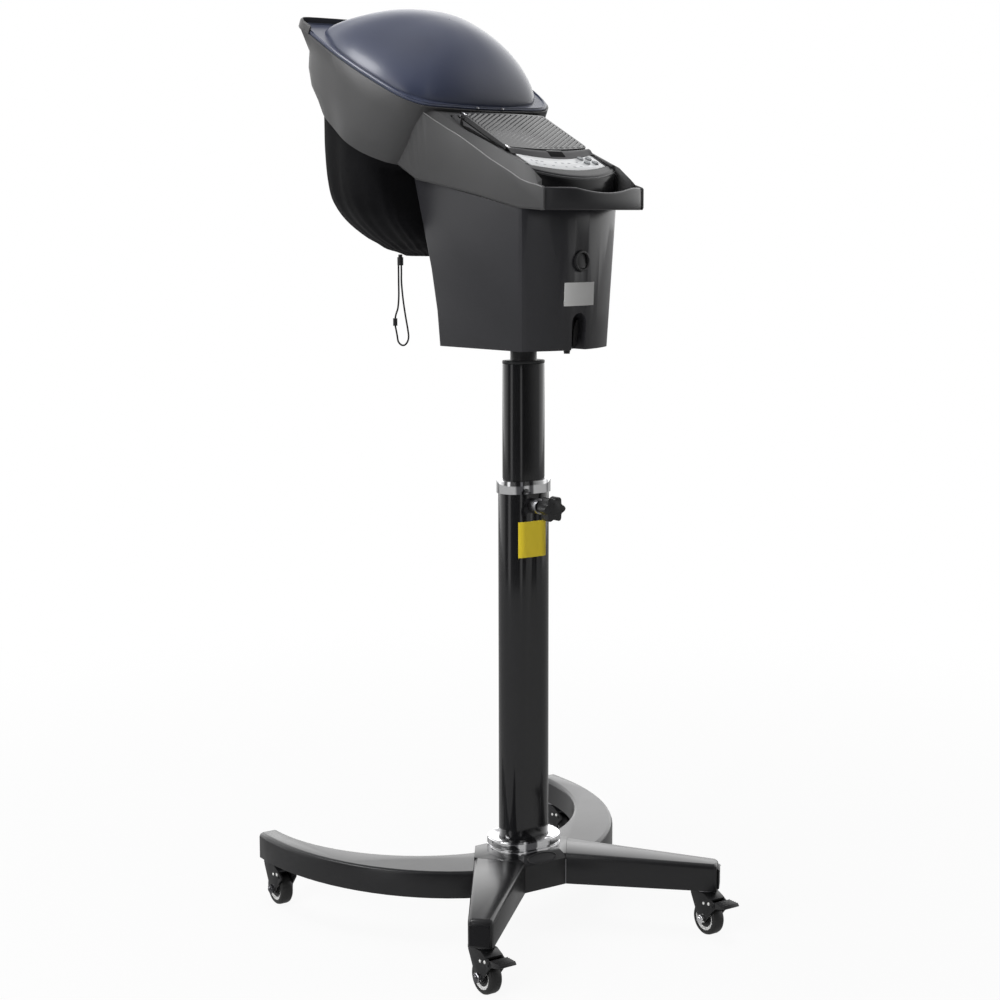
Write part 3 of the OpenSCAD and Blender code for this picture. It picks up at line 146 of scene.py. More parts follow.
def rounded(obj, width, segments, angle):
    """Rounds the edges that turn by more than the angle."""
    m = obj.modifiers.new("bevel", "BEVEL")
    m.width = width * MM
    m.segments = segments
    m.limit_method = "ANGLE"
    m.angle_limit = math.radians(angle)
    mesh = baked(obj)
    obj.modifiers.clear()
    obj.data = mesh


def refined(node, material, bevel, angle, flatten):
    """A piece that takes a node's shape, welded, with rounded edges and smooth shading."""
    mesh = nodes[node].data.copy()
    mesh.name = node + "_piece"
    bm = bmesh.new()
    bm.from_mesh(mesh)
    bmesh.ops.remove_doubles(bm, verts=bm.verts, dist=WELD)
    bmesh.ops.dissolve_limit(bm, angle_limit=math.radians(flatten), verts=bm.verts, edges=bm.edges)
    bmesh.ops.recalc_face_normals(bm, faces=bm.faces)
    for f in bm.faces:
        f.smooth = True
    bm.to_mesh(mesh)
    bm.free()
    mesh.materials.clear()
    obj = bpy.data.objects.new(node + "_piece", mesh)
    scene.collection.objects.link(obj)
    rounded(obj, bevel, 2, angle)
    shade(obj.data, angle)
    keep(obj, nodes[node]["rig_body"], material, node)


def spline_point(a, b, c, d, t):
    """The point at share t between b and c of a smooth curve through four points."""
    return tuple(0.5 * (2 * q + (r - p) * t + (2 * p - 5 * q + 4 * r - s) * t * t
        + (3 * q - p - 3 * r + s) * t ** 3) for p, q, r, s in zip(a, b, c, d))


def smooth_loop(points, steps):
    """A smooth closed curve through the points, with so many steps between two of them."""
    n = len(points)
    return [spline_point(*(points[(i + j) % n] for j in (-1, 0, 1, 2)), k / steps)
        for i in range(n) for k in range(steps)]


def smooth_line(points, steps):
    """A smooth open curve through the points."""
    last = len(points) - 1
    return [spline_point(points[max(i - 1, 0)], points[i], points[i + 1], points[min(i + 2, last)], k / steps)
        for i in range(last) for k in range(steps)] + [points[last]]


def mirrored(half):
    """A closed outline from its right half, which starts and ends on the middle line."""
    return half + [(-p[0],) + tuple(p[1:]) for p in half[-2:0:-1]]


def mix(a, b, t):
    return a + (b - a) * t


def lookup(x, table):
    """The value at x, straight between the table's pairs."""
    if x <= table[0][0]:
        return table[0][1]
    for (x0, y0), (x1, y1) in zip(table, table[1:]):
        if x <= x1:
            return mix(y0, y1, (x - x0) / (x1 - x0))
    return table[-1][1]


def eased(x, table):
    """As lookup, but smooth through the table's points."""
    if x <= table[0][0]:
        return table[0][1]
    if x >= table[-1][0]:
        return table[-1][1]
    i = max(k for k in range(len(table) - 1) if table[k][0] <= x)
    (x0, y0), (x1, y1) = table[i], table[i + 1]
    before = table[max(i - 1, 0)]
    after = table[min(i + 2, len(table) - 1)]
    s0 = (y1 - before[1]) / (x1 - before[0])
    s1 = (after[1] - y0) / (after[0] - x0)
    t, h = (x - x0) / (x1 - x0), x1 - x0
    return ((2 * t ** 3 - 3 * t ** 2 + 1) * y0 + (t ** 3 - 2 * t ** 2 + t) * h * s0
        + (3 * t ** 2 - 2 * t ** 3) * y1 + (t ** 3 - t ** 2) * h * s1)


def ring_faces(rings, count, closed=False):
    """Quads between rings of as many points each."""
    last = rings if closed else rings - 1
    return [(i * count + k, i * count + (k + 1) % count,
        (i + 1) % rings * count + (k + 1) % count, (i + 1) % rings * count + k)
        for i in range(last) for k in range(count)]


def grid_faces(cols, rows):
    """Quads of a grid of cols by rows points."""
    return [(a, a + 1, a + cols + 1, a + cols)
        for j in range(rows - 1) for a in range(j * cols, j * cols + cols - 1)]


def grid_rim(cols, rows):
    """The points round a grid's edge, in order."""
    front, right = list(range(cols)), [j * cols + cols - 1 for j in range(1, rows)]
    back = [(rows - 1) * cols + i for i in range(cols - 2, -1, -1)]
    return front + right + back + [j * cols for j in range(rows - 2, 0, -1)]


def head_point(p):
    """A point of the head as drawn facing -Y, in millimetres, in the scene's frame."""
    return HEAD @ (Vector(p) * MM)


HOOD_TILT = math.radians(27.5)
HOOD_AT = (84, 1193.3)


def hood_point(u, v, w):
    """A point of the hood, from its place across, along and square to the tilted rim."""
    c, s = math.cos(HOOD_TILT), math.sin(HOOD_TILT)
    return head_point((u, HOOD_AT[0] + v * c - w * s, HOOD_AT[1] + v * s + w * c))


PANEL_FRONT = -104
PANEL_Z = 1126 + (PANEL_FRONT + 53.3) * math.tan(HOOD_TILT)


def panel_point(u, v, w):
    """A point of the panel, from its place across, along and square to it."""
    c, s = math.cos(HOOD_TILT), math.sin(HOOD_TILT)
    return head_point((u, PANEL_FRONT + v * c - w * s, PANEL_Z + v * s + w * c))


# Materials
def principled(name):
    """A new material with its nodes, its shader and the object's own coordinates."""
    mat = bpy.data.materials.new(name)
    mat.use_nodes = True
    tree = mat.node_tree
    where = tree.nodes.new("ShaderNodeTexCoord")
    return mat, tree, tree.nodes["Principled BSDF"], where.outputs["Object"]


def add_noise(tree, where, scale, detail):
    cloud = tree.nodes.new("ShaderNodeTexNoise")
    cloud.inputs["Scale"].default_value = scale
    cloud.inputs["Detail"].default_value = detail
    tree.links.new(where, cloud.inputs["Vector"])
    return cloud.outputs["Fac"]


def add_tint(tree, share, low, high, socket):
    """Feeds a colour between two colours to a socket."""
    tint = tree.nodes.new("ShaderNodeMix")
    tint.data_type = "RGBA"
    tint.inputs["A"].default_value = tuple(low) + (1,)
    tint.inputs["B"].default_value = tuple(high) + (1,)
    tree.links.new(share, tint.inputs["Factor"])
    tree.links.new(tint.outputs["Result"], socket)


def add_range(tree, share, low, high, socket):
    """Feeds a value between two values to a socket."""
    stretch = tree.nodes.new("ShaderNodeMapRange")
    stretch.inputs["To Min"].default_value = low
    stretch.inputs["To Max"].default_value = high
    tree.links.new(share, stretch.inputs["Value"])
    tree.links.new(stretch.outputs["Result"], socket)


def add_bump(tree, height, strength, distance, under=None):
    """A bump, over the bump under it if there is one."""
    bump = tree.nodes.new("ShaderNodeBump")
    bump.inputs["Strength"].default_value = strength
    bump.inputs["Distance"].default_value = distance
    tree.links.new(height, bump.inputs["Height"])
    if under is not None:
        tree.links.new(under, bump.inputs["Normal"])
    return bump.outputs["Normal"]


def add_mix(tree, share, off, on):
    """One shader where the share is 0 and the other where it is 1."""
    both = tree.nodes.new("ShaderNodeMixShader")
    tree.links.new(share, both.inputs["Fac"])
    tree.links.new(off, both.inputs[1])
    tree.links.new(on, both.inputs[2])
    return both.outputs["Shader"]


def grained(name, color, rough, spread, shift, scale, bump, depth, waves=0, wave_bump=0.0, metal=0.0,
        coat=0.0, coat_rough=0.1, specular=0.5):
    """A surface with a fine grain in its height and soft patches in its colour and roughness."""
    mat, tree, shader, where = principled(name)
    shader.inputs["Metallic"].default_value = metal
    shader.inputs["Coat Weight"].default_value = coat
    shader.inputs["Coat Roughness"].default_value = coat_rough
    shader.inputs["Specular IOR Level"].default_value = specular
    patches = add_noise(tree, where, 14, 3)
    darker, lighter = ([c * f for c in color] for f in (1 - shift, 1 + shift))
    add_tint(tree, patches, darker, lighter, shader.inputs["Base Color"])
    add_range(tree, patches, max(0.02, rough - spread), min(1, rough + spread), shader.inputs["Roughness"])
    normal = add_bump(tree, add_noise(tree, where, scale, 2), bump, depth)
    if waves:
        normal = add_bump(tree, add_noise(tree, where, waves, 1), wave_bump, 0.001, normal)
    tree.links.new(normal, shader.inputs["Normal"])
    return mat


def cloth_material():
    """Dark velvet, crushed in patches, with a fine pile."""
    mat, tree, shader, where = principled("bonnet_velvet")
    shader.inputs["Roughness"].default_value = 0.95
    shader.inputs["Specular IOR Level"].default_value = 0.10
    shader.inputs["Sheen Weight"].default_value = 0.04
    shader.inputs["Sheen Roughness"].default_value = 0.45
    wide = add_noise(tree, where, 22, 5)
    add_tint(tree, wide, (0.0025, 0.0025, 0.003), (0.010, 0.010, 0.011), shader.inputs["Base Color"])
    pile = add_bump(tree, add_noise(tree, where, 1400, 3), 0.6, 0.0006)
    crushed = add_bump(tree, wide, 0.35, 0.004, pile)
    tree.links.new(crushed, shader.inputs["Normal"])
    return mat


def dome_material():
    """A tinted, slightly clear moulding."""
    mat, tree, shader, where = principled("dome_tinted")
    shader.inputs["Transmission Weight"].default_value = 0.22
    shader.inputs["IOR"].default_value = 1.49
    shader.inputs["Coat Weight"].default_value = 0.35
    shader.inputs["Coat Roughness"].default_value = 0.22
    cloud = add_noise(tree, where, 9, 2)
    add_tint(tree, cloud, (0.046, 0.056, 0.098), (0.066, 0.078, 0.130), shader.inputs["Base Color"])
    add_range(tree, cloud, 0.34, 0.42, shader.inputs["Roughness"])
    peel = add_bump(tree, add_noise(tree, where, 420, 2), 0.10, 0.0005)
    tree.links.new(peel, shader.inputs["Normal"])
    return mat


def chrome_material():
    """Chrome with painted reflections: upright light and dark streaks in its colour."""
    mat, tree, shader, where = principled("polished_chrome")
    new, link = tree.nodes.new, tree.links.new
    shader.inputs["Metallic"].default_value = 0.95
    upright = new("ShaderNodeVectorMath")
    upright.operation = "MULTIPLY"
    upright.inputs[1].default_value = (1, 1, 0.04)
    link(where, upright.inputs[0])
    # Painted reflection: stretched noise picks a dark or a bright base colour in upright streaks
    edge = new("ShaderNodeMapRange")
    edge.interpolation_type = "SMOOTHSTEP"
    edge.inputs["From Min"].default_value = 0.42
    edge.inputs["From Max"].default_value = 0.50
    link(add_noise(tree, upright.outputs["Vector"], 46, 1), edge.inputs["Value"])
    add_tint(tree, edge.outputs["Result"], (0.16, 0.16, 0.17), (0.95, 0.95, 0.96),
        shader.inputs["Base Color"])
    speck = add_noise(tree, where, 300, 2)
    add_range(tree, speck, 0.05, 0.12, shader.inputs["Roughness"])
    link(add_bump(tree, speck, 0.01, 0.0001), shader.inputs["Normal"])
    return mat


black_paint = grained("column_gloss_black", (0.010, 0.010, 0.011), 0.16, 0.03, 0.1, 700, 0.03, 0.0002,
    60, 0.03, coat=0.5, coat_rough=0.08)
leg_paint = grained("base_gloss_black", (0.012, 0.012, 0.013), 0.33, 0.05, 0.12, 900, 0.05, 0.0002,
    45, 0.04, coat=0.25, coat_rough=0.2)
chrome = chrome_material()
steel = grained("plain_steel", (0.46, 0.46, 0.48), 0.32, 0.08, 0.1, 500, 0.05, 0.0002, metal=1)
bright = grained("bright_zinc", (0.78, 0.78, 0.80), 0.2, 0.06, 0.05, 500, 0.04, 0.0002, metal=1)
aluminium = grained("machined_aluminium", (0.58, 0.58, 0.60), 0.3, 0.06, 0.06, 500, 0.05, 0.0002, metal=1)
shell = grained("shell_grained_grey", (0.052, 0.052, 0.053), 0.44, 0.04, 0.08, 1300, 0.22, 0.0003)
tank_skin = grained("tank_satin_charcoal", (0.024, 0.024, 0.027), 0.30, 0.04, 0.08, 1500, 0.12, 0.0002)
satin = grained("handle_satin_black", (0.016, 0.016, 0.018), 0.30, 0.04, 0.1, 1100, 0.08, 0.0002)
panel_skin = grained("panel_mid_grey", (0.050, 0.050, 0.052), 0.42, 0.05, 0.08, 1200, 0.12, 0.0002)
lid_skin = grained("lid_dark_grey", (0.015, 0.015, 0.016), 0.24, 0.05, 0.1, 900, 0.06, 0.0002)
gloss = grained("front_gloss_black", (0.007, 0.007, 0.008), 0.22, 0.03, 0.1, 700, 0.03, 0.0002, specular=0.28)
# Black for painted shade in gaps and recesses
painted_shade = grained("painted_gap_shade", (0.006, 0.006, 0.006), 0.7, 0.05, 0.1, 700, 0.1, 0.0002, specular=0.1)
# Light grey for painted highlights along edges
painted_highlight = grained("painted_edge_highlight", (0.20, 0.20, 0.20), 0.35, 0.05, 0.08, 900, 0.08, 0.0002)
plastic = grained("black_moulding", (0.016, 0.016, 0.017), 0.40, 0.06, 0.12, 900, 0.12, 0.0002)
caster_skin = grained("caster_black_nylon", (0.012, 0.012, 0.013), 0.30, 0.05, 0.1, 1000, 0.10, 0.0002)
pale = grained("natural_white_moulding", (0.62, 0.62, 0.58), 0.45, 0.05, 0.04, 700, 0.08, 0.0002)
white = grained("wheel_white", (0.74, 0.74, 0.73), 0.38, 0.05, 0.04, 700, 0.08, 0.0002)
tread = grained("tyre_rubber", (0.018, 0.018, 0.018), 0.38, 0.08, 0.15, 600, 0.25, 0.0003)
rubber = grained("black_rubber", (0.018, 0.018, 0.018), 0.48, 0.08, 0.12, 700, 0.2, 0.0003)
film = grained("keypad_film", (0.66, 0.67, 0.68), 0.3, 0.04, 0.03, 700, 0.04, 0.0002)
keys = grained("key_grey", (0.20, 0.21, 0.22), 0.4, 0.04, 0.06, 700, 0.06, 0.0002)
pale_mark = grained("faint_print_grey", (0.34, 0.35, 0.37), 0.4, 0.04, 0.06, 700, 0.04, 0.0002)
plate_white = grained("plate_silver_white", (0.74, 0.74, 0.73), 0.42, 0.06, 0.05, 600, 0.05, 0.0002)
plate_yellow = grained("plate_yellow", (0.86, 0.66, 0.03), 0.45, 0.06, 0.06, 600, 0.05, 0.0002)
cord_black = grained("cord_braid", (0.012, 0.012, 0.012), 0.8, 0.08, 0.15, 2500, 0.6, 0.0004)
copper = grained("heater_sheath", (0.42, 0.36, 0.30), 0.35, 0.08, 0.1, 600, 0.06, 0.0002, metal=1)
board = grained("board_green", (0.02, 0.09, 0.04), 0.4, 0.05, 0.1, 900, 0.08, 0.0002)
velvet = cloth_material()
tinted = dome_material()

# Casings, column and base
refined("crescent", leg_paint, 1.2, 22, 0.3)
for n in ("left_leg", "right_leg"):
    refined(n, leg_paint, 1.6, 30, 0.3)
refined("base_hub", leg_paint, 1.2, 30, 0.3)
for n in ("base_collar", "clamp_collar"):
    refined(n, chrome, 0.9, 30, 0.3)
for n in ("outer_tube", "inner_tube"):
    refined(n, black_paint, 0.6, 30, 0.3)
refined("swivel_spigot", plastic, 0.4, 30, 0.3)
refined("clamp_boss", steel, 0.5, 30, 0.3)
refined("clamp_screw", steel, 0.3, 30, 0.3)
refined("clamp_knob", plastic, 1.4, 30, 0.3)
refined("tank_casing", tank_skin, 1.0, 30, 0.5)
refined("pod_shell", shell, 0.8, 24, 0.5)
refined("hood_band", shell, 0.6, 24, 0.3)
refined("grip_handle", satin, 1.2, 34, 0.5)
refined("top_panel", panel_skin, 0.5, 34, 0.5)
refined("keypad_plate", film, 0.25, 34, 0.5)
refined("power_rocker", plastic, 0.6, 34, 0.5)
refined("switch_bezel", plastic, 0.7, 34, 0.5)
for corner in ("front_left", "front_right", "rear_left", "rear_right"):
    refined(corner + "_fork", caster_skin, 0.8, 34, 0.3)
    refined(corner + "_wheel", white, 0.4, 34, 0.3)
    refined(corner + "_tyre", tread, 0.4, 34, 0.3)
for corner in ("front_left", "front_right"):
    refined(corner + "_pedal", caster_skin, 0.5, 34, 0.3)

plain = {
    "guide_bush": plastic, "tube_glide": plastic, "tank_floor": plastic, "mains_inlet": plastic,
    "caster_stems": steel, "lid_hinge_pin": steel, "swivel_bush": pale, "water_reservoir": pale,
    "steam_duct": pale, "steam_ring": pale, "heating_element": copper, "circuit_board": board,
    "drain_hose": rubber, "drain_plug": rubber, "plug_strap": rubber, "cord_lock": plastic,
    "cord_bead": plastic, "button_1": keys, "button_2": keys, "button_3": keys, "button_4": keys,
    "filler_lid": lid_skin}
for n, mat in plain.items():
    nodes[n].data.materials.clear()
    nodes[n].data.materials.append(mat)

# Dome with its flange
HOOD_MIDDLE = 125
RIM = mirrored([(0, -17), (65, -14), (110, -10), (131, 2), (146, 27), (157, 85), (162, 145), (160, 190),
    (156, 231), (151, 262), (118, 269), (0, 271)])
RIM_FINE = smooth_loop(RIM, 6)
DOME_V, DOME_W, DOME_LEN, DOME_H, DOME_SHARE = 123, 148, 131.6, 79, 0.905
DOME_WALL, DOME_SQUARE, DOME_FULL = 3, 2.5, 1.45
FLANGE = 2.5


def rim_ring(share, w, inset=0.0):
    """The rim's outline, smaller by a share or an inset, at a height."""
    ring = []
    for x, y in RIM_FINE:
        d = Vector((x, y - HOOD_MIDDLE))
        d = d * share - d.normalized() * inset
        ring.append(hood_point(d.x, HOOD_MIDDLE + d.y, w))
    return ring


def dome_ring(s, inset=0.0):
    """The dome's outline where it has shrunk to a share: squarish above, the rim's own form below."""
    w = FLANGE - inset + (DOME_H - FLANGE) * (1 - s * s) ** (1 / DOME_FULL)
    ring = []
    for x, y in RIM_FINE:
        q = Vector((x * DOME_SHARE, (y - HOOD_MIDDLE) * DOME_SHARE + HOOD_MIDDLE - DOME_V))
        u = q.normalized()
        r = (abs(u.x / DOME_W) ** DOME_SQUARE + abs(u.y / DOME_LEN) ** DOME_SQUARE) ** (-1 / DOME_SQUARE)
        d = u * max(mix(r, q.length, 0.45 * s ** 5) * s - inset, 0.4)
        ring.append(hood_point(d.x, DOME_V + d.y, w))
    return ring


def build_dome():
    rings = [rim_ring(1, 0.1, 3.4), rim_ring(1, 2.2, 3.4), rim_ring(1, 2.5, 3.8), rim_ring(0.966, 2.5),
        rim_ring(0.961, 4.2), rim_ring(0.952, 4.2), rim_ring(0.947, 2.6), rim_ring(0.924, 2.6)]
    steps = 26
    shares = [math.cos(math.radians(89.6 * i / steps)) for i in range(steps + 1)]
    rings += [dome_ring(s) for s in shares]
    rings += [dome_ring(s, DOME_WALL) for s in reversed(shares)]
    points = [p for ring in rings for p in ring]
    return new_mesh("dome_moulding", points, ring_faces(len(rings), len(RIM_FINE), closed=True), 50)


keep(build_dome(), "head", tinted, "dome")

# Bonnet
BAND_H, BAND_WALL, BONNET_Z, BONNET_Y, BONNET_T = 95, 3.9, 980, 190, 1.6
TANK_Z = 855
LOW = mirrored([(0, -6), (60, -6), (100, -4), (124, 3), (142, 14), (160, 40), (165, 75), (156, 115),
    (144, 160), (122, 192), (80, 206), (0, 210)])
LOW_FINE = smooth_loop(LOW, 4)
BAG = [(0, 44), (5, 56), (10, 73), (19, 88), (26, 101), (44, 124), (61, 140), (82, 153), (111, 161),
    (155, 166), (201, 168)]


def tank_back(z):
    return 84 + lookup(z - TANK_Z, [(0, 4), (50, 7), (115, 17), (169, 30), (206, 39), (256, 50)])


def bag_reach(z):
    """How far the bag may reach towards the tank."""
    return BONNET_Y - tank_back(z) - 12 + lookup(z, [(1102, 0), (1112, 14), (1120, 24)])


def bonnet_at(i, count, w, inset):
    """A point inside the band's lower edge."""
    f = i * len(LOW_FINE) / count
    j = int(f)
    a, b = LOW_FINE[j % len(LOW_FINE)], LOW_FINE[(j + 1) % len(LOW_FINE)]
    q = Vector((mix(a[0], b[0], f - j), mix(a[1], b[1], f - j) - HOOD_MIDDLE))
    q = q - q.normalized() * (BAND_WALL + inset)
    c, s = math.cos(HOOD_TILT), math.sin(HOOD_TILT)
    v = q.y + HOOD_MIDDLE
    return (q.x, HOOD_AT[0] + v * c - w * s, HOOD_AT[1] + v * s + w * c)


def bonnet_skin(inset, count, rows):
    """One side of the cloth: two rings in the band, then rings down to the drawn-in bottom."""
    rings = [[bonnet_at(i, count, -BAND_H + 14, inset + 1.6) for i in range(count)],
        [bonnet_at(i, count, -BAND_H - 1, inset) for i in range(count)]]
    for j in range(1, rows + 1):
        t = j / rows
        ring = []
        for i in range(count):
            top = bonnet_at(i, count, -BAND_H - 1, 0)
            a = math.atan2(top[1] - BONNET_Y, top[0])
            z = BONNET_Z + (top[2] - BONNET_Z) * (1 - math.sin(math.radians(90 * t)))
            h = z - BONNET_Z
            grow = math.hypot(top[0], top[1] - BONNET_Y) / eased(top[2] - BONNET_Z, BAG)
            r = eased(h, BAG) * mix(grow, 1, min(1, 2.5 * t)) - inset
            gather = math.exp(-h / 60)
            soft = noise.noise(Vector((math.cos(a) * 1.6, math.sin(a) * 1.6, h / 90)))
            fine = noise.noise(Vector((math.cos(a) * 5, math.sin(a) * 5, h / 160 + 7)))
            start = min(1, 3 * t)
            wave = math.cos(12 * a + 1.5 * soft)
            tight = math.cos(36 * a + 2 * fine)
            r += start * (1.3 * (wave - 0.35) + 2.6 * soft + 1.4 * fine - 1.2 + gather * 1.6 * tight)
            y = r * math.sin(a)
            if y < 0:
                reach = bag_reach(z) - inset
                y = y / (1 + (y / reach) ** 4) ** 0.25
            ring.append((r * math.cos(a), BONNET_Y + y, z + inset * t * 0.5))
        rings.append(ring)
    return rings


def build_bonnet():
    count, rows = 240, 40
    rings = bonnet_skin(0, count, rows) + bonnet_skin(BONNET_T, count, rows)[::-1]
    points = [head_point(p) for ring in rings for p in ring]
    return new_mesh("bonnet_bag", points, ring_faces(len(rings), count, closed=True), 80)


# The sheet goes round the band's edge once, and a quarter more of it is taken up by the gathers
bonnet = keep(build_bonnet(), "head", velvet, "bonnet")


# Drawcord
def line_curve(name, route, radius, resolution, closed=False):
    """A round curve of a radius in millimetres, along a route in metres."""
    data = bpy.data.curves.new(name, "CURVE")
    data.dimensions = "3D"
    data.bevel_depth = radius * MM
    data.bevel_resolution = resolution
    data.use_fill_caps = not closed
    spline = data.splines.new("POLY")
    spline.points.add(len(route) - 1)
    for point, q in zip(spline.points, route):
        point.co = (q[0], q[1], q[2], 1)
    spline.use_cyclic_u = closed
    return bpy.data.objects.new(name, data)


CORD_D = 2.6
STRAND = [(-43, 225, 965.8), (-43, 225, 955), (-43, 225, 940), (-43, 225, 920), (-44, 226, 903),
    (-46, 228, 894), (-47, 229, 887.7)]
LOOP = [(-40, 222, 965.8), (-40, 222, 955), (-40, 222, 940), (-38, 221, 915), (-36, 218, 890),
    (-34, 216, 873), (-33, 215, 860), (-34, 217, 852), (-37, 220, 847.5), (-41, 223, 848), (-44, 226, 853),
    (-45, 227, 861), (-46, 228, 869), (-47, 229, 876.3)]
for name, points, node in (("drawcord_left", STRAND, "drawcord_strand"),
        ("drawcord_right", LOOP, "drawcord_loop")):
    route = [head_point(p) for p in smooth_line(points, 4)]
    cord = keep(line_curve(name, route, CORD_D / 2, 3), "head", cord_black, node)


# Lid with its ribs
LID_W, LID_FRONT, LID_BACK, LID_LOW, LID_T = 79, 54, 164 / math.cos(HOOD_TILT) - 17, -2.4, 9
LID_BOW, LID_CORNER = 9, 10
RIB_PITCH, RIB_ANGLE, RIB_DEPTH = 5.7, math.radians(57), 2.1


def lid_front(u):
    """The lid's front edge, bowed towards the operator."""
    return LID_FRONT + LID_BOW * (u / LID_W) ** 2


def lid_height(u, v):
    """Height of the lid's top over its middle, crowned across and ribbed slantwise."""
    crown = 1.6 * (1 - (u / LID_W) ** 2)
    edge = min(1, (LID_W - abs(u)) / 4, (v - lid_front(u)) / 4, (LID_BACK - v) / 4)
    across = (u * math.cos(RIB_ANGLE) - v * math.sin(RIB_ANGLE)) / RIB_PITCH
    away = (math.hypot(u + 62, (v - LID_FRONT - 8) * 0.8) - 22) / 55
    fade = min(1, max(0.04, away))
    rib = abs(math.sin(math.pi * across)) ** 0.7 - 0.65
    return LID_LOW + LID_T - 2.4 + crown * 0.7 + (RIB_DEPTH * rib * fade if edge > 0.99 else 0)


def lid_place(i, j, cols, rows):
    """A grid point of the lid, whose right front corner is round."""
    u = LID_W * (2 * i / cols - 1)
    front = lid_front(u)
    v = mix(front, LID_BACK, j / rows)
    turn = max(0, LID_CORNER - (v - front))
    shrink = (LID_CORNER - math.sqrt(max(0, LID_CORNER * LID_CORNER - turn * turn))) * i / cols
    return u - shrink, v


def build_lid():
    cols, rows = 220, 150
    flat = [lid_place(i, j, cols, rows) for j in range(rows + 1) for i in range(cols + 1)]
    rim = grid_rim(cols + 1, rows + 1)
    points = [panel_point(u, v, lid_height(u, v)) for u, v in flat]
    points += [panel_point(flat[k][0], flat[k][1], LID_LOW) for k in rim]
    base, n = len(flat), len(rim)
    faces = grid_faces(cols + 1, rows + 1)
    faces += [(rim[k], base + k, base + (k + 1) % n, rim[(k + 1) % n]) for k in range(n)]
    faces.append(tuple(base + k for k in range(n - 1, -1, -1)))
    return new_mesh("lid_ribbed", points, faces, 50)


keep(build_lid(), "lid", lid_skin, "filler_lid")


# Small pieces
def box_piece(name, size, place, body, mat, bevel):
    """A box of a size in millimetres, with rounded edges."""
    bm = bmesh.new()
    bmesh.ops.create_cube(bm, size=1)
    for v in bm.verts:
        v.co = Vector((v.co.x * size[0], v.co.y * size[1], v.co.z * size[2])) * MM
    mesh = bpy.data.meshes.new(name)
    bm.to_mesh(mesh)
    bm.free()
    obj = bpy.data.objects.new(name, mesh)
    scene.collection.objects.link(obj)
    rounded(obj, bevel, 3, 30)
    shade(obj.data, 40)
    obj.data.transform(place)
    keep(obj, body, mat)


def turned(name, profile, place, body, mat, count, smooth, closed=True):
    """A ring or, with its ends filled, a solid turned about Z, from pairs of radius and height."""
    points = []
    for r, h in profile:
        for k in range(count):
            a = 2 * math.pi * k / count
            points.append(Vector((r * math.cos(a), r * math.sin(a), h)) * MM)
    faces = ring_faces(len(profile), count, closed)
    if not closed:
        last = (len(profile) - 1) * count
        faces += [tuple(range(count - 1, -1, -1)), tuple(range(last, last + count))]
    obj = new_mesh(name, points, faces, smooth)
    obj.data.transform(place)
    keep(obj, body, mat)


def dome_head(name, radius, height, place, body, mat):
    """A domed screw or rivet head with its axis along Z before it is placed."""
    arc = [math.pi / 2 * j / 6 for j in range(7)]
    profile = [(max(radius * math.cos(a), 0.02), height * math.sin(a)) for a in arc]
    turned(name, profile, place, body, mat, 20, 50, closed=False)


def tube_piece(name, route, radius, body, mat, closed=False):
    """A round tube along a route, as a mesh."""
    line = line_curve(name + "_line", route, radius, 2, closed)
    scene.collection.objects.link(line)
    mesh = baked(line)
    bpy.data.objects.remove(line)
    shade(mesh, 60)
    keep(bpy.data.objects.new(name, mesh), body, mat)


def plate_piece(name, outer, inner, body, mat, smooth=40):
    """A thin closed shell between two grids of points of the same size."""
    rows, cols = len(outer), len(outer[0])
    points = [p for grid in (outer, inner) for row in grid for p in row]
    m = rows * cols
    faces = grid_faces(cols, rows)
    faces += [(a + m, d + m, c + m, b + m) for a, b, c, d in grid_faces(cols, rows)]
    rim = grid_rim(cols, rows)
    faces += [(a, a + m, b + m, b) for a, b in zip(rim, rim[1:] + rim[:1])]
    keep(new_mesh(name, points, faces, smooth), body, mat)


def frame_at(point, u, v, w):
    """Matrix at a place of the hood or the panel, given by its function, with Z square to it."""
    origin = point(u, v, w)
    x = (point(u + 10, v, w) - origin).normalized()
    z = x.cross((point(u, v + 10, w) - origin).normalized()).normalized()
    m = Matrix((x, z.cross(x), z)).transposed().to_4x4()
    m.translation = origin
    return m


for k, u in enumerate((-22, 26)):
    dome_head("flange_screw_%d" % k, 2.6, 1.8, frame_at(hood_point, u, -12.6, FLANGE), "head", steel)

# Gloss front between the keypad and the handle
NOSE_W, NOSE_BOW = 94.2, 27
KEYPAD_FRONT, KEYPAD_BACK = 15, 49


def nose_y(x):
    """The panel's bowed front wall."""
    return -NOSE_W - NOSE_BOW * (1 - (x / NOSE_W) ** 2)


def keypad_line(u, v):
    """An edge of the keypad, bowed towards the operator."""
    return v - 14 * max(0, 1 - (u / 71) ** 2)


def front_row(u, lift):
    """A line from the keypad's front edge over the nose and down the wall."""
    c, t = math.cos(HOOD_TILT), math.tan(HOOD_TILT)
    edge = keypad_line(u, KEYPAD_FRONT)
    nose = (nose_y(u) - PANEL_FRONT) / c
    top = PANEL_Z + (nose_y(u) - PANEL_FRONT) * t
    row = [panel_point(u, mix(edge - 0.3, nose + 5, k / 5), mix(0.2, -0.5, k / 5) + lift) for k in range(6)]
    row += [panel_point(u, nose + 2.2, -0.9 + lift), panel_point(u, nose + 0.4, -2.0 + lift * 0.5)]
    row += [head_point((u, nose_y(u) - 0.45 - lift, mix(top - 5, 1049.6, k / 5))) for k in range(6)]
    return row


reach = [80 * math.sin(math.radians(90 * k / 30)) for k in range(-30, 31)]
plate_piece("panel_front_gloss", [front_row(u, 0.0) for u in reach], [front_row(u, -0.3) for u in reach],
    "head", gloss, 50)


# Strip between the lid and the keypad, with its latch
def strip_point(u, t, lift):
    """A point of the strip, t of the way from the keypad to the lid."""
    low, back = keypad_line(u, KEYPAD_BACK) + 0.3, lid_front(u) - 0.9
    return panel_point(u, mix(low, back, t), mix(0.5, 4.0, min(1, t * 1.5)) + lift)


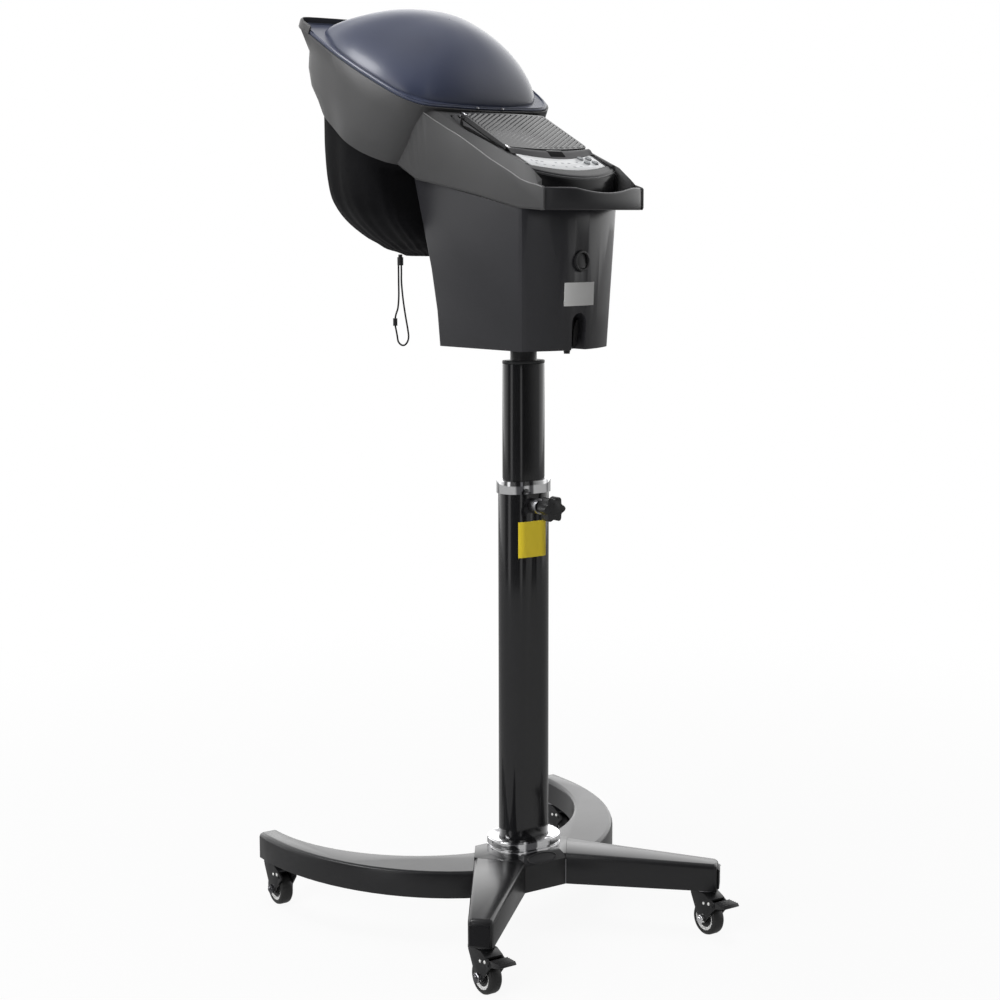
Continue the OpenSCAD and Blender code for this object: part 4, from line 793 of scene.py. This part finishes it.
def strip_piece(name, places, shares, lifts, mat):
    grids = [[[strip_point(u, t, lift) for t in shares] for u in places] for lift in lifts]
    plate_piece(name, grids[0], grids[1], "head", mat)


strip_piece("latch_strip", [78.5 * k / 40 for k in range(-40, 41)], [k / 6 for k in range(7)], (0.0, -1.5),
    panel_skin)
# Painted shade and highlight: the latch's recess is a black sheet laid on the strip, and its rim a light grey
# strip beside it
for name, start, lift, mat in (("latch_recess_shade", 0.18, 0.25, painted_shade), ("latch_rim_highlight", 0.80, 0.7, painted_highlight)):
    strip_piece(name, [14 * k / 8 for k in range(-8, 9)], [mix(start, 0.92, q) for q in (0, 0.33, 0.66, 1)],
        (lift, lift - 0.4), mat)


# Painted shade along the lid's sides: thin black sheets laid on the casing where the gaps beside the lid fall
# dark
def surface_of(names):
    """The nodes' faces, to find places on them."""
    points, faces = [], []
    for n in names:
        base = len(points)
        points += [nodes[n].matrix_world @ v.co for v in nodes[n].data.vertices]
        faces += [tuple(base + k for k in poly.vertices) for poly in nodes[n].data.polygons]
    return bvhtree.BVHTree.FromPolygons(points, faces)


casing = surface_of(["pod_shell", "top_panel"])


def laid(u, v, lift):
    """The point over the casing at a place of the panel, looking down square to the panel."""
    start = panel_point(u, v, 25)
    down = (panel_point(u, v, 0) - start).normalized()
    hit = casing.ray_cast(start, down, 0.06)[0]
    return (hit if hit else panel_point(u, v, 0)) - down * lift * MM


def side_shade_row(side, t, lift):
    wide = 0.6 + 5.2 * math.sin(math.pi * min(1, t * 1.05)) ** 0.7
    v = mix(LID_FRONT + 12, LID_BACK - 2, t)
    return [laid(side * (80.2 + wide * q), v, lift) for q in (0, 0.33, 0.66, 1)]


for side, name in ((-1, "left"), (1, "right")):
    grids = [[side_shade_row(side, k / 30, lift) for k in range(31)] for lift in (0.5, 0.1)]
    plate_piece("lid_side_shade_" + name, grids[0], grids[1], "head", painted_shade, 60)
for k, (u, v, w) in enumerate(((-79.5, 60, 5.0), (-80.5, 158, 6.5))):
    box_piece("lid_bracket_%d" % k, (2.2, 9, 1.6), frame_at(panel_point, u, v, w), "head",
        bright, 0.4)

# Faint marks on the keypad, with no words
MARKS = ((-58, 33), (-50, 31), (-42, 29), (-56, 24), (-44, 20), (-30, 17), (-18, 26), (-6, 25), (6, 25),
    (-8, 14), (8, 14), (22, 16), (24, 28))
for k, (u, v) in enumerate(MARKS):
    box_piece("keypad_mark_%d" % k, (5.0 if k % 3 else 3.4, 2.4, 0.3), frame_at(panel_point, u, v - 3, 0.12),
        "head", pale_mark, 0.1)

# Casters: nuts, rivets and the wheels' dark centres
WHEEL_R, TRAIL, STEM = 25, 9, 268
LEG = math.radians(46.7)
RIVETS = ((-13, 49.5, 2.3), (-24, 51.5, 2.5))
HUB_PROFILE = [(4.6, 7.2), (13.4, 7.2), (13.4, 7.7), (9.6, 7.8), (9.4, 10.4), (4.6, 10.4)]
NUT_PROFILE = [(3.0, 13.9), (7.4, 13.9), (7.4, 17.6), (6.6, 18.3), (3.0, 18.3)]


def placed(x, y, z, way):
    """Matrix with Z along X, outwards to the given way."""
    m = Matrix.Rotation(math.radians(90 * way), 4, "Y")
    m.translation = Vector((x, y, z)) * MM
    return m


def wheel_middle(corner):
    """The middle of a wheel's box, across and along, in millimetres."""
    box = [nodes[corner + "_wheel"].matrix_world @ v.co for v in nodes[corner + "_wheel"].data.vertices]
    return [(min(q[i] for q in box) + max(q[i] for q in box)) / 2 / MM for i in (0, 1)]


CASTERS = {"front_left": (-STEM * math.sin(LEG), -STEM * math.cos(LEG)),
    "front_right": (STEM * math.sin(LEG), -STEM * math.cos(LEG))}
for corner in ("rear_left", "rear_right"):
    x, y = wheel_middle(corner)
    CASTERS[corner] = (x, y + TRAIL)
for corner, (sx, sy) in CASTERS.items():
    fork, roller = nodes[corner + "_fork"]["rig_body"], nodes[corner + "_wheel"]["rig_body"]
    for way, side in ((-1, "left"), (1, "right")):
        tag = "%s_%s" % (corner, side)
        axle = placed(sx, sy - TRAIL, WHEEL_R, way)
        turned("wheel_centre_" + tag, HUB_PROFILE, axle, roller, caster_skin, 40, 40)
        turned("axle_nut_" + tag, NUT_PROFILE, axle, fork, chrome, 6, 25)
        dome_head("axle_cap_" + tag, 4.2, 2.6, placed(sx + way * 18.2, sy - TRAIL, WHEEL_R, way), fork,
            chrome)
        for k, (y, z, r) in enumerate(RIVETS):
            dome_head("fork_rivet_%s_%d" % (tag, k), r, 1.5, placed(sx + way * 13.6, sy + y, z, way), fork,
                white)

# Ends of the legs, the hub's oval ring and its weld
BASE_Z, LEG_END = 67, 287.6
for side, name in ((-1, "left"), (1, "right")):
    outwards = Vector((side * math.sin(LEG), -math.cos(LEG), 0))
    cross = Vector((0, 0, 1)).cross(outwards)
    m = Matrix((cross, Vector((0, 0, 1)), -outwards)).transposed().to_4x4()
    m.translation = (outwards * LEG_END + Vector((0, 0, BASE_Z + 17.6))) * MM
    box_piece("leg_end_" + name, (29.5, 29.5, 2.6), m, "base", gloss, 1.2)
    for k, u in enumerate((-12.6, 12.6)):
        stud = Matrix((cross, Vector((0, 0, 1)).cross(cross) * -1, outwards)).transposed().to_4x4()
        stud.translation = (outwards * (LEG_END + 1.1) + cross * u + Vector((0, 0, BASE_Z + 30))) * MM
        dome_head("leg_stud_%s_%d" % (name, k), 1.1, 0.7, stud, "base", bright)

oval = []
for k in range(48):
    a = 2 * math.pi * k / 48
    y = -51.6 + 4.6 * math.sin(a)
    oval.append(Vector((-4 + 25 * math.cos(a), y, 107 + (y + 56) * 11.5 / 8.6 + 0.3)) * MM)
tube_piece("hub_ring", oval, 1.0, "base", leg_paint, True)
weld = [Vector((36, -56.2, z)) * MM for z in (68, 105)]
tube_piece("hub_weld", weld, 0.7, "base", steel)

# Painted highlight along each side of the casing: a light grey bead along its crest
CREST = [(-141, 30.5), (-127, 34.5), (-113, 37), (-96, 42), (-76, 52), (-36, 70), (4, 91), (46, 112),
    (67, 125), (86, 139), (120, 160)]


def pod_crest(y):
    """Half the casing's width and the height of its edge."""
    return 96.5 + 27.5 * min(1, max(0, (y - 20) / 76)) ** 1.8, 1046 + lookup(y, CREST)


for side, name in ((-1, "left"), (1, "right")):
    route = []
    for y in range(-138, 85, 3):
        wide, z = pod_crest(y)
        route.append(head_point((side * (wide - 1.0), y, z - 0.75)))
    tube_piece("casing_highlight_bead_" + name, route, 0.75, "head", painted_highlight)


# Bare plates on the tank and the column
def tank_front(x, z):
    v = 84 + 10 * (z - TANK_Z) / 230
    return -v - NOSE_BOW * (1 - (x / v) ** 2)


COLUMN_R, COLUMN_FLAT = 25.0, 14


def column_front(x, z):
    return -math.sqrt(COLUMN_R ** 2 - max(0, abs(x) - COLUMN_FLAT) ** 2)


def bare_plate(name, left, right, low, high, front, body, mat, turn):
    """A thin plate that stands 0.35 mm proud of a front."""
    xs = [mix(left, right, i / 24) for i in range(25)]
    zs = [mix(low, high, j / 2) for j in range(3)]
    grids = [[[turn @ (Vector((x, front(x, z) - proud, z)) * MM) for x in xs] for z in zs]
        for proud in (0.35, 0.05)]
    plate_piece(name, grids[0], grids[1], body, mat)


bare_plate("tank_plate", -28.5, 28.5, 916, 948, tank_front, "head", plate_white, HEAD)
bare_plate("column_plate", -25, 22, 554, 606, column_front, "base", plate_yellow, Matrix.Identity(4))

# Light and ground: the room that polished surfaces show, by the angle from straight away from the viewer
AWAY = 55.1
ROOM = [(-180, 0.02), (-152, 0.03), (-146, 0.75), (-138, 0.75), (-132, 0.03), (-112, 0.03), (-96, 0.9),
    (-60, 1.6), (0, 1.9), (60, 1.6), (84, 0.9), (100, 0.6), (112, 0.05), (128, 0.05), (134, 0.9), (144, 0.9),
    (150, 0.04), (179, 0.02)]
AMBIENT, FLOOR_GLOW = 0.115, 0.36


def set_stops(ramp, values):
    """Sets a ramp's stops from pairs of place and grey level."""
    while len(ramp.elements) > 1:
        ramp.elements.remove(ramp.elements[-1])
    ramp.elements[0].position = values[0][0]
    ramp.elements[0].color = (values[0][1],) * 3 + (1,)
    for place, level in values[1:]:
        ramp.elements.new(place).color = (level, level, level, 1)


def add_world():
    world = bpy.data.worlds.new("studio")
    scene.world = world
    world.use_nodes = True
    tree = world.node_tree
    new, link = tree.nodes.new, tree.links.new
    tree.nodes.clear()
    out = new("ShaderNodeOutputWorld")
    ambient = new("ShaderNodeBackground")
    ambient.inputs["Strength"].default_value = AMBIENT
    backdrop = new("ShaderNodeBackground")
    backdrop.inputs["Color"].default_value = (1, 1, 1, 1)
    room = new("ShaderNodeBackground")
    where = new("ShaderNodeTexCoord")
    turn = new("ShaderNodeTexGradient")
    turn.gradient_type = "RADIAL"
    link(where.outputs["Generated"], turn.inputs["Vector"])
    wall = new("ShaderNodeValToRGB")
    set_stops(wall.color_ramp, sorted(((AWAY + degrees + 180) % 360 / 360, level) for degrees, level in ROOM))
    link(turn.outputs["Fac"], wall.inputs["Fac"])
    split = new("ShaderNodeSeparateXYZ")
    link(where.outputs["Generated"], split.inputs["Vector"])
    high = new("ShaderNodeMapRange")
    high.interpolation_type = "SMOOTHSTEP"
    high.inputs["From Min"].default_value = 0.45
    high.inputs["From Max"].default_value = 0.85
    link(split.outputs["Z"], high.inputs["Value"])
    sky = new("ShaderNodeMix")
    sky.data_type = "RGBA"
    sky.inputs["B"].default_value = (0.32, 0.32, 0.33, 1)
    link(high.outputs["Result"], sky.inputs["Factor"])
    link(wall.outputs["Color"], sky.inputs["A"])
    link(sky.outputs["Result"], room.inputs["Color"])
    path = new("ShaderNodeLightPath")
    lit = add_mix(tree, path.outputs["Is Glossy Ray"], ambient.outputs["Background"],
        room.outputs["Background"])
    straight = new("ShaderNodeMath")
    straight.operation = "ADD"
    straight.use_clamp = True
    link(path.outputs["Is Camera Ray"], straight.inputs[0])
    link(path.outputs["Is Transmission Ray"], straight.inputs[1])
    seen = add_mix(tree, straight.outputs["Value"], lit, backdrop.outputs["Background"])
    link(seen, out.inputs["Surface"])


def floor_material():
    """White to the camera, a little less so near the base for the shadow's sake, and matt to the lamps."""
    mat = bpy.data.materials.new("floor_white")
    mat.use_nodes = True
    tree = mat.node_tree
    new, link = tree.nodes.new, tree.links.new
    tree.nodes.clear()
    out = new("ShaderNodeOutputMaterial")
    matt = new("ShaderNodeBsdfDiffuse")
    matt.inputs["Color"].default_value = (0.80, 0.80, 0.80, 1)
    white_glow = new("ShaderNodeEmission")
    dim_glow = new("ShaderNodeEmission")
    dim_glow.inputs["Strength"].default_value = FLOOR_GLOW
    path = new("ShaderNodeLightPath")
    where = new("ShaderNodeTexCoord")
    reach = new("ShaderNodeVectorMath")
    reach.operation = "SCALE"
    reach.inputs["Scale"].default_value = 0.45
    link(where.outputs["Object"], reach.inputs[0])
    near = new("ShaderNodeTexGradient")
    near.gradient_type = "SPHERICAL"
    link(reach.outputs["Vector"], near.inputs["Vector"])
    clear = new("ShaderNodeMapRange")
    clear.interpolation_type = "SMOOTHSTEP"
    clear.inputs["From Max"].default_value = 0.8
    clear.inputs["To Min"].default_value = 1.0
    clear.inputs["To Max"].default_value = 0.93
    link(near.outputs["Fac"], clear.inputs["Value"])
    share = new("ShaderNodeMath")
    share.operation = "MULTIPLY"
    link(clear.outputs["Result"], share.inputs[1])
    link(path.outputs["Is Camera Ray"], share.inputs[0])
    lit = add_mix(tree, path.outputs["Is Glossy Ray"], matt.outputs["BSDF"], dim_glow.outputs["Emission"])
    link(add_mix(tree, share.outputs["Value"], lit, white_glow.outputs["Emission"]), out.inputs["Surface"])
    return mat


def add_floor():
    bm = bmesh.new()
    bmesh.ops.create_grid(bm, x_segments=1, y_segments=1, size=30)
    mesh = bpy.data.meshes.new("floor")
    bm.to_mesh(mesh)
    bm.free()
    obj = bpy.data.objects.new("floor", mesh)
    scene.collection.objects.link(obj)
    obj.data.materials.append(floor_material())


def add_lamp(name, place, target, size, power, diffuse=True, glossy=True):
    """An area lamp that shines from its place to the target, in watts."""
    data = bpy.data.lights.new(name, "AREA")
    data.shape = "RECTANGLE"
    data.size, data.size_y = size
    data.energy = power
    obj = bpy.data.objects.new(name, data)
    obj.location = place
    obj.rotation_euler = (Vector(target) - Vector(place)).to_track_quat("-Z", "Y").to_euler()
    obj.visible_diffuse = diffuse
    obj.visible_glossy = glossy
    scene.collection.objects.link(obj)


add_world()
add_floor()
add_lamp("left_softbox", (-2.9, -0.75, 1.7), (0, 0, 1.0), (1.6, 2.4), 80, glossy=False)
add_lamp("top_softbox", (0.0, 0.4, 3.1), (0, 0, 1.0), (1.8, 1.8), 48, glossy=False)
add_lamp("dome_highlight", (-2.4, 0.9, 3.0), (0, 0.2, 1.3), (1.3, 1.3), 55, diffuse=False)
scene.view_settings.view_transform = "Standard"
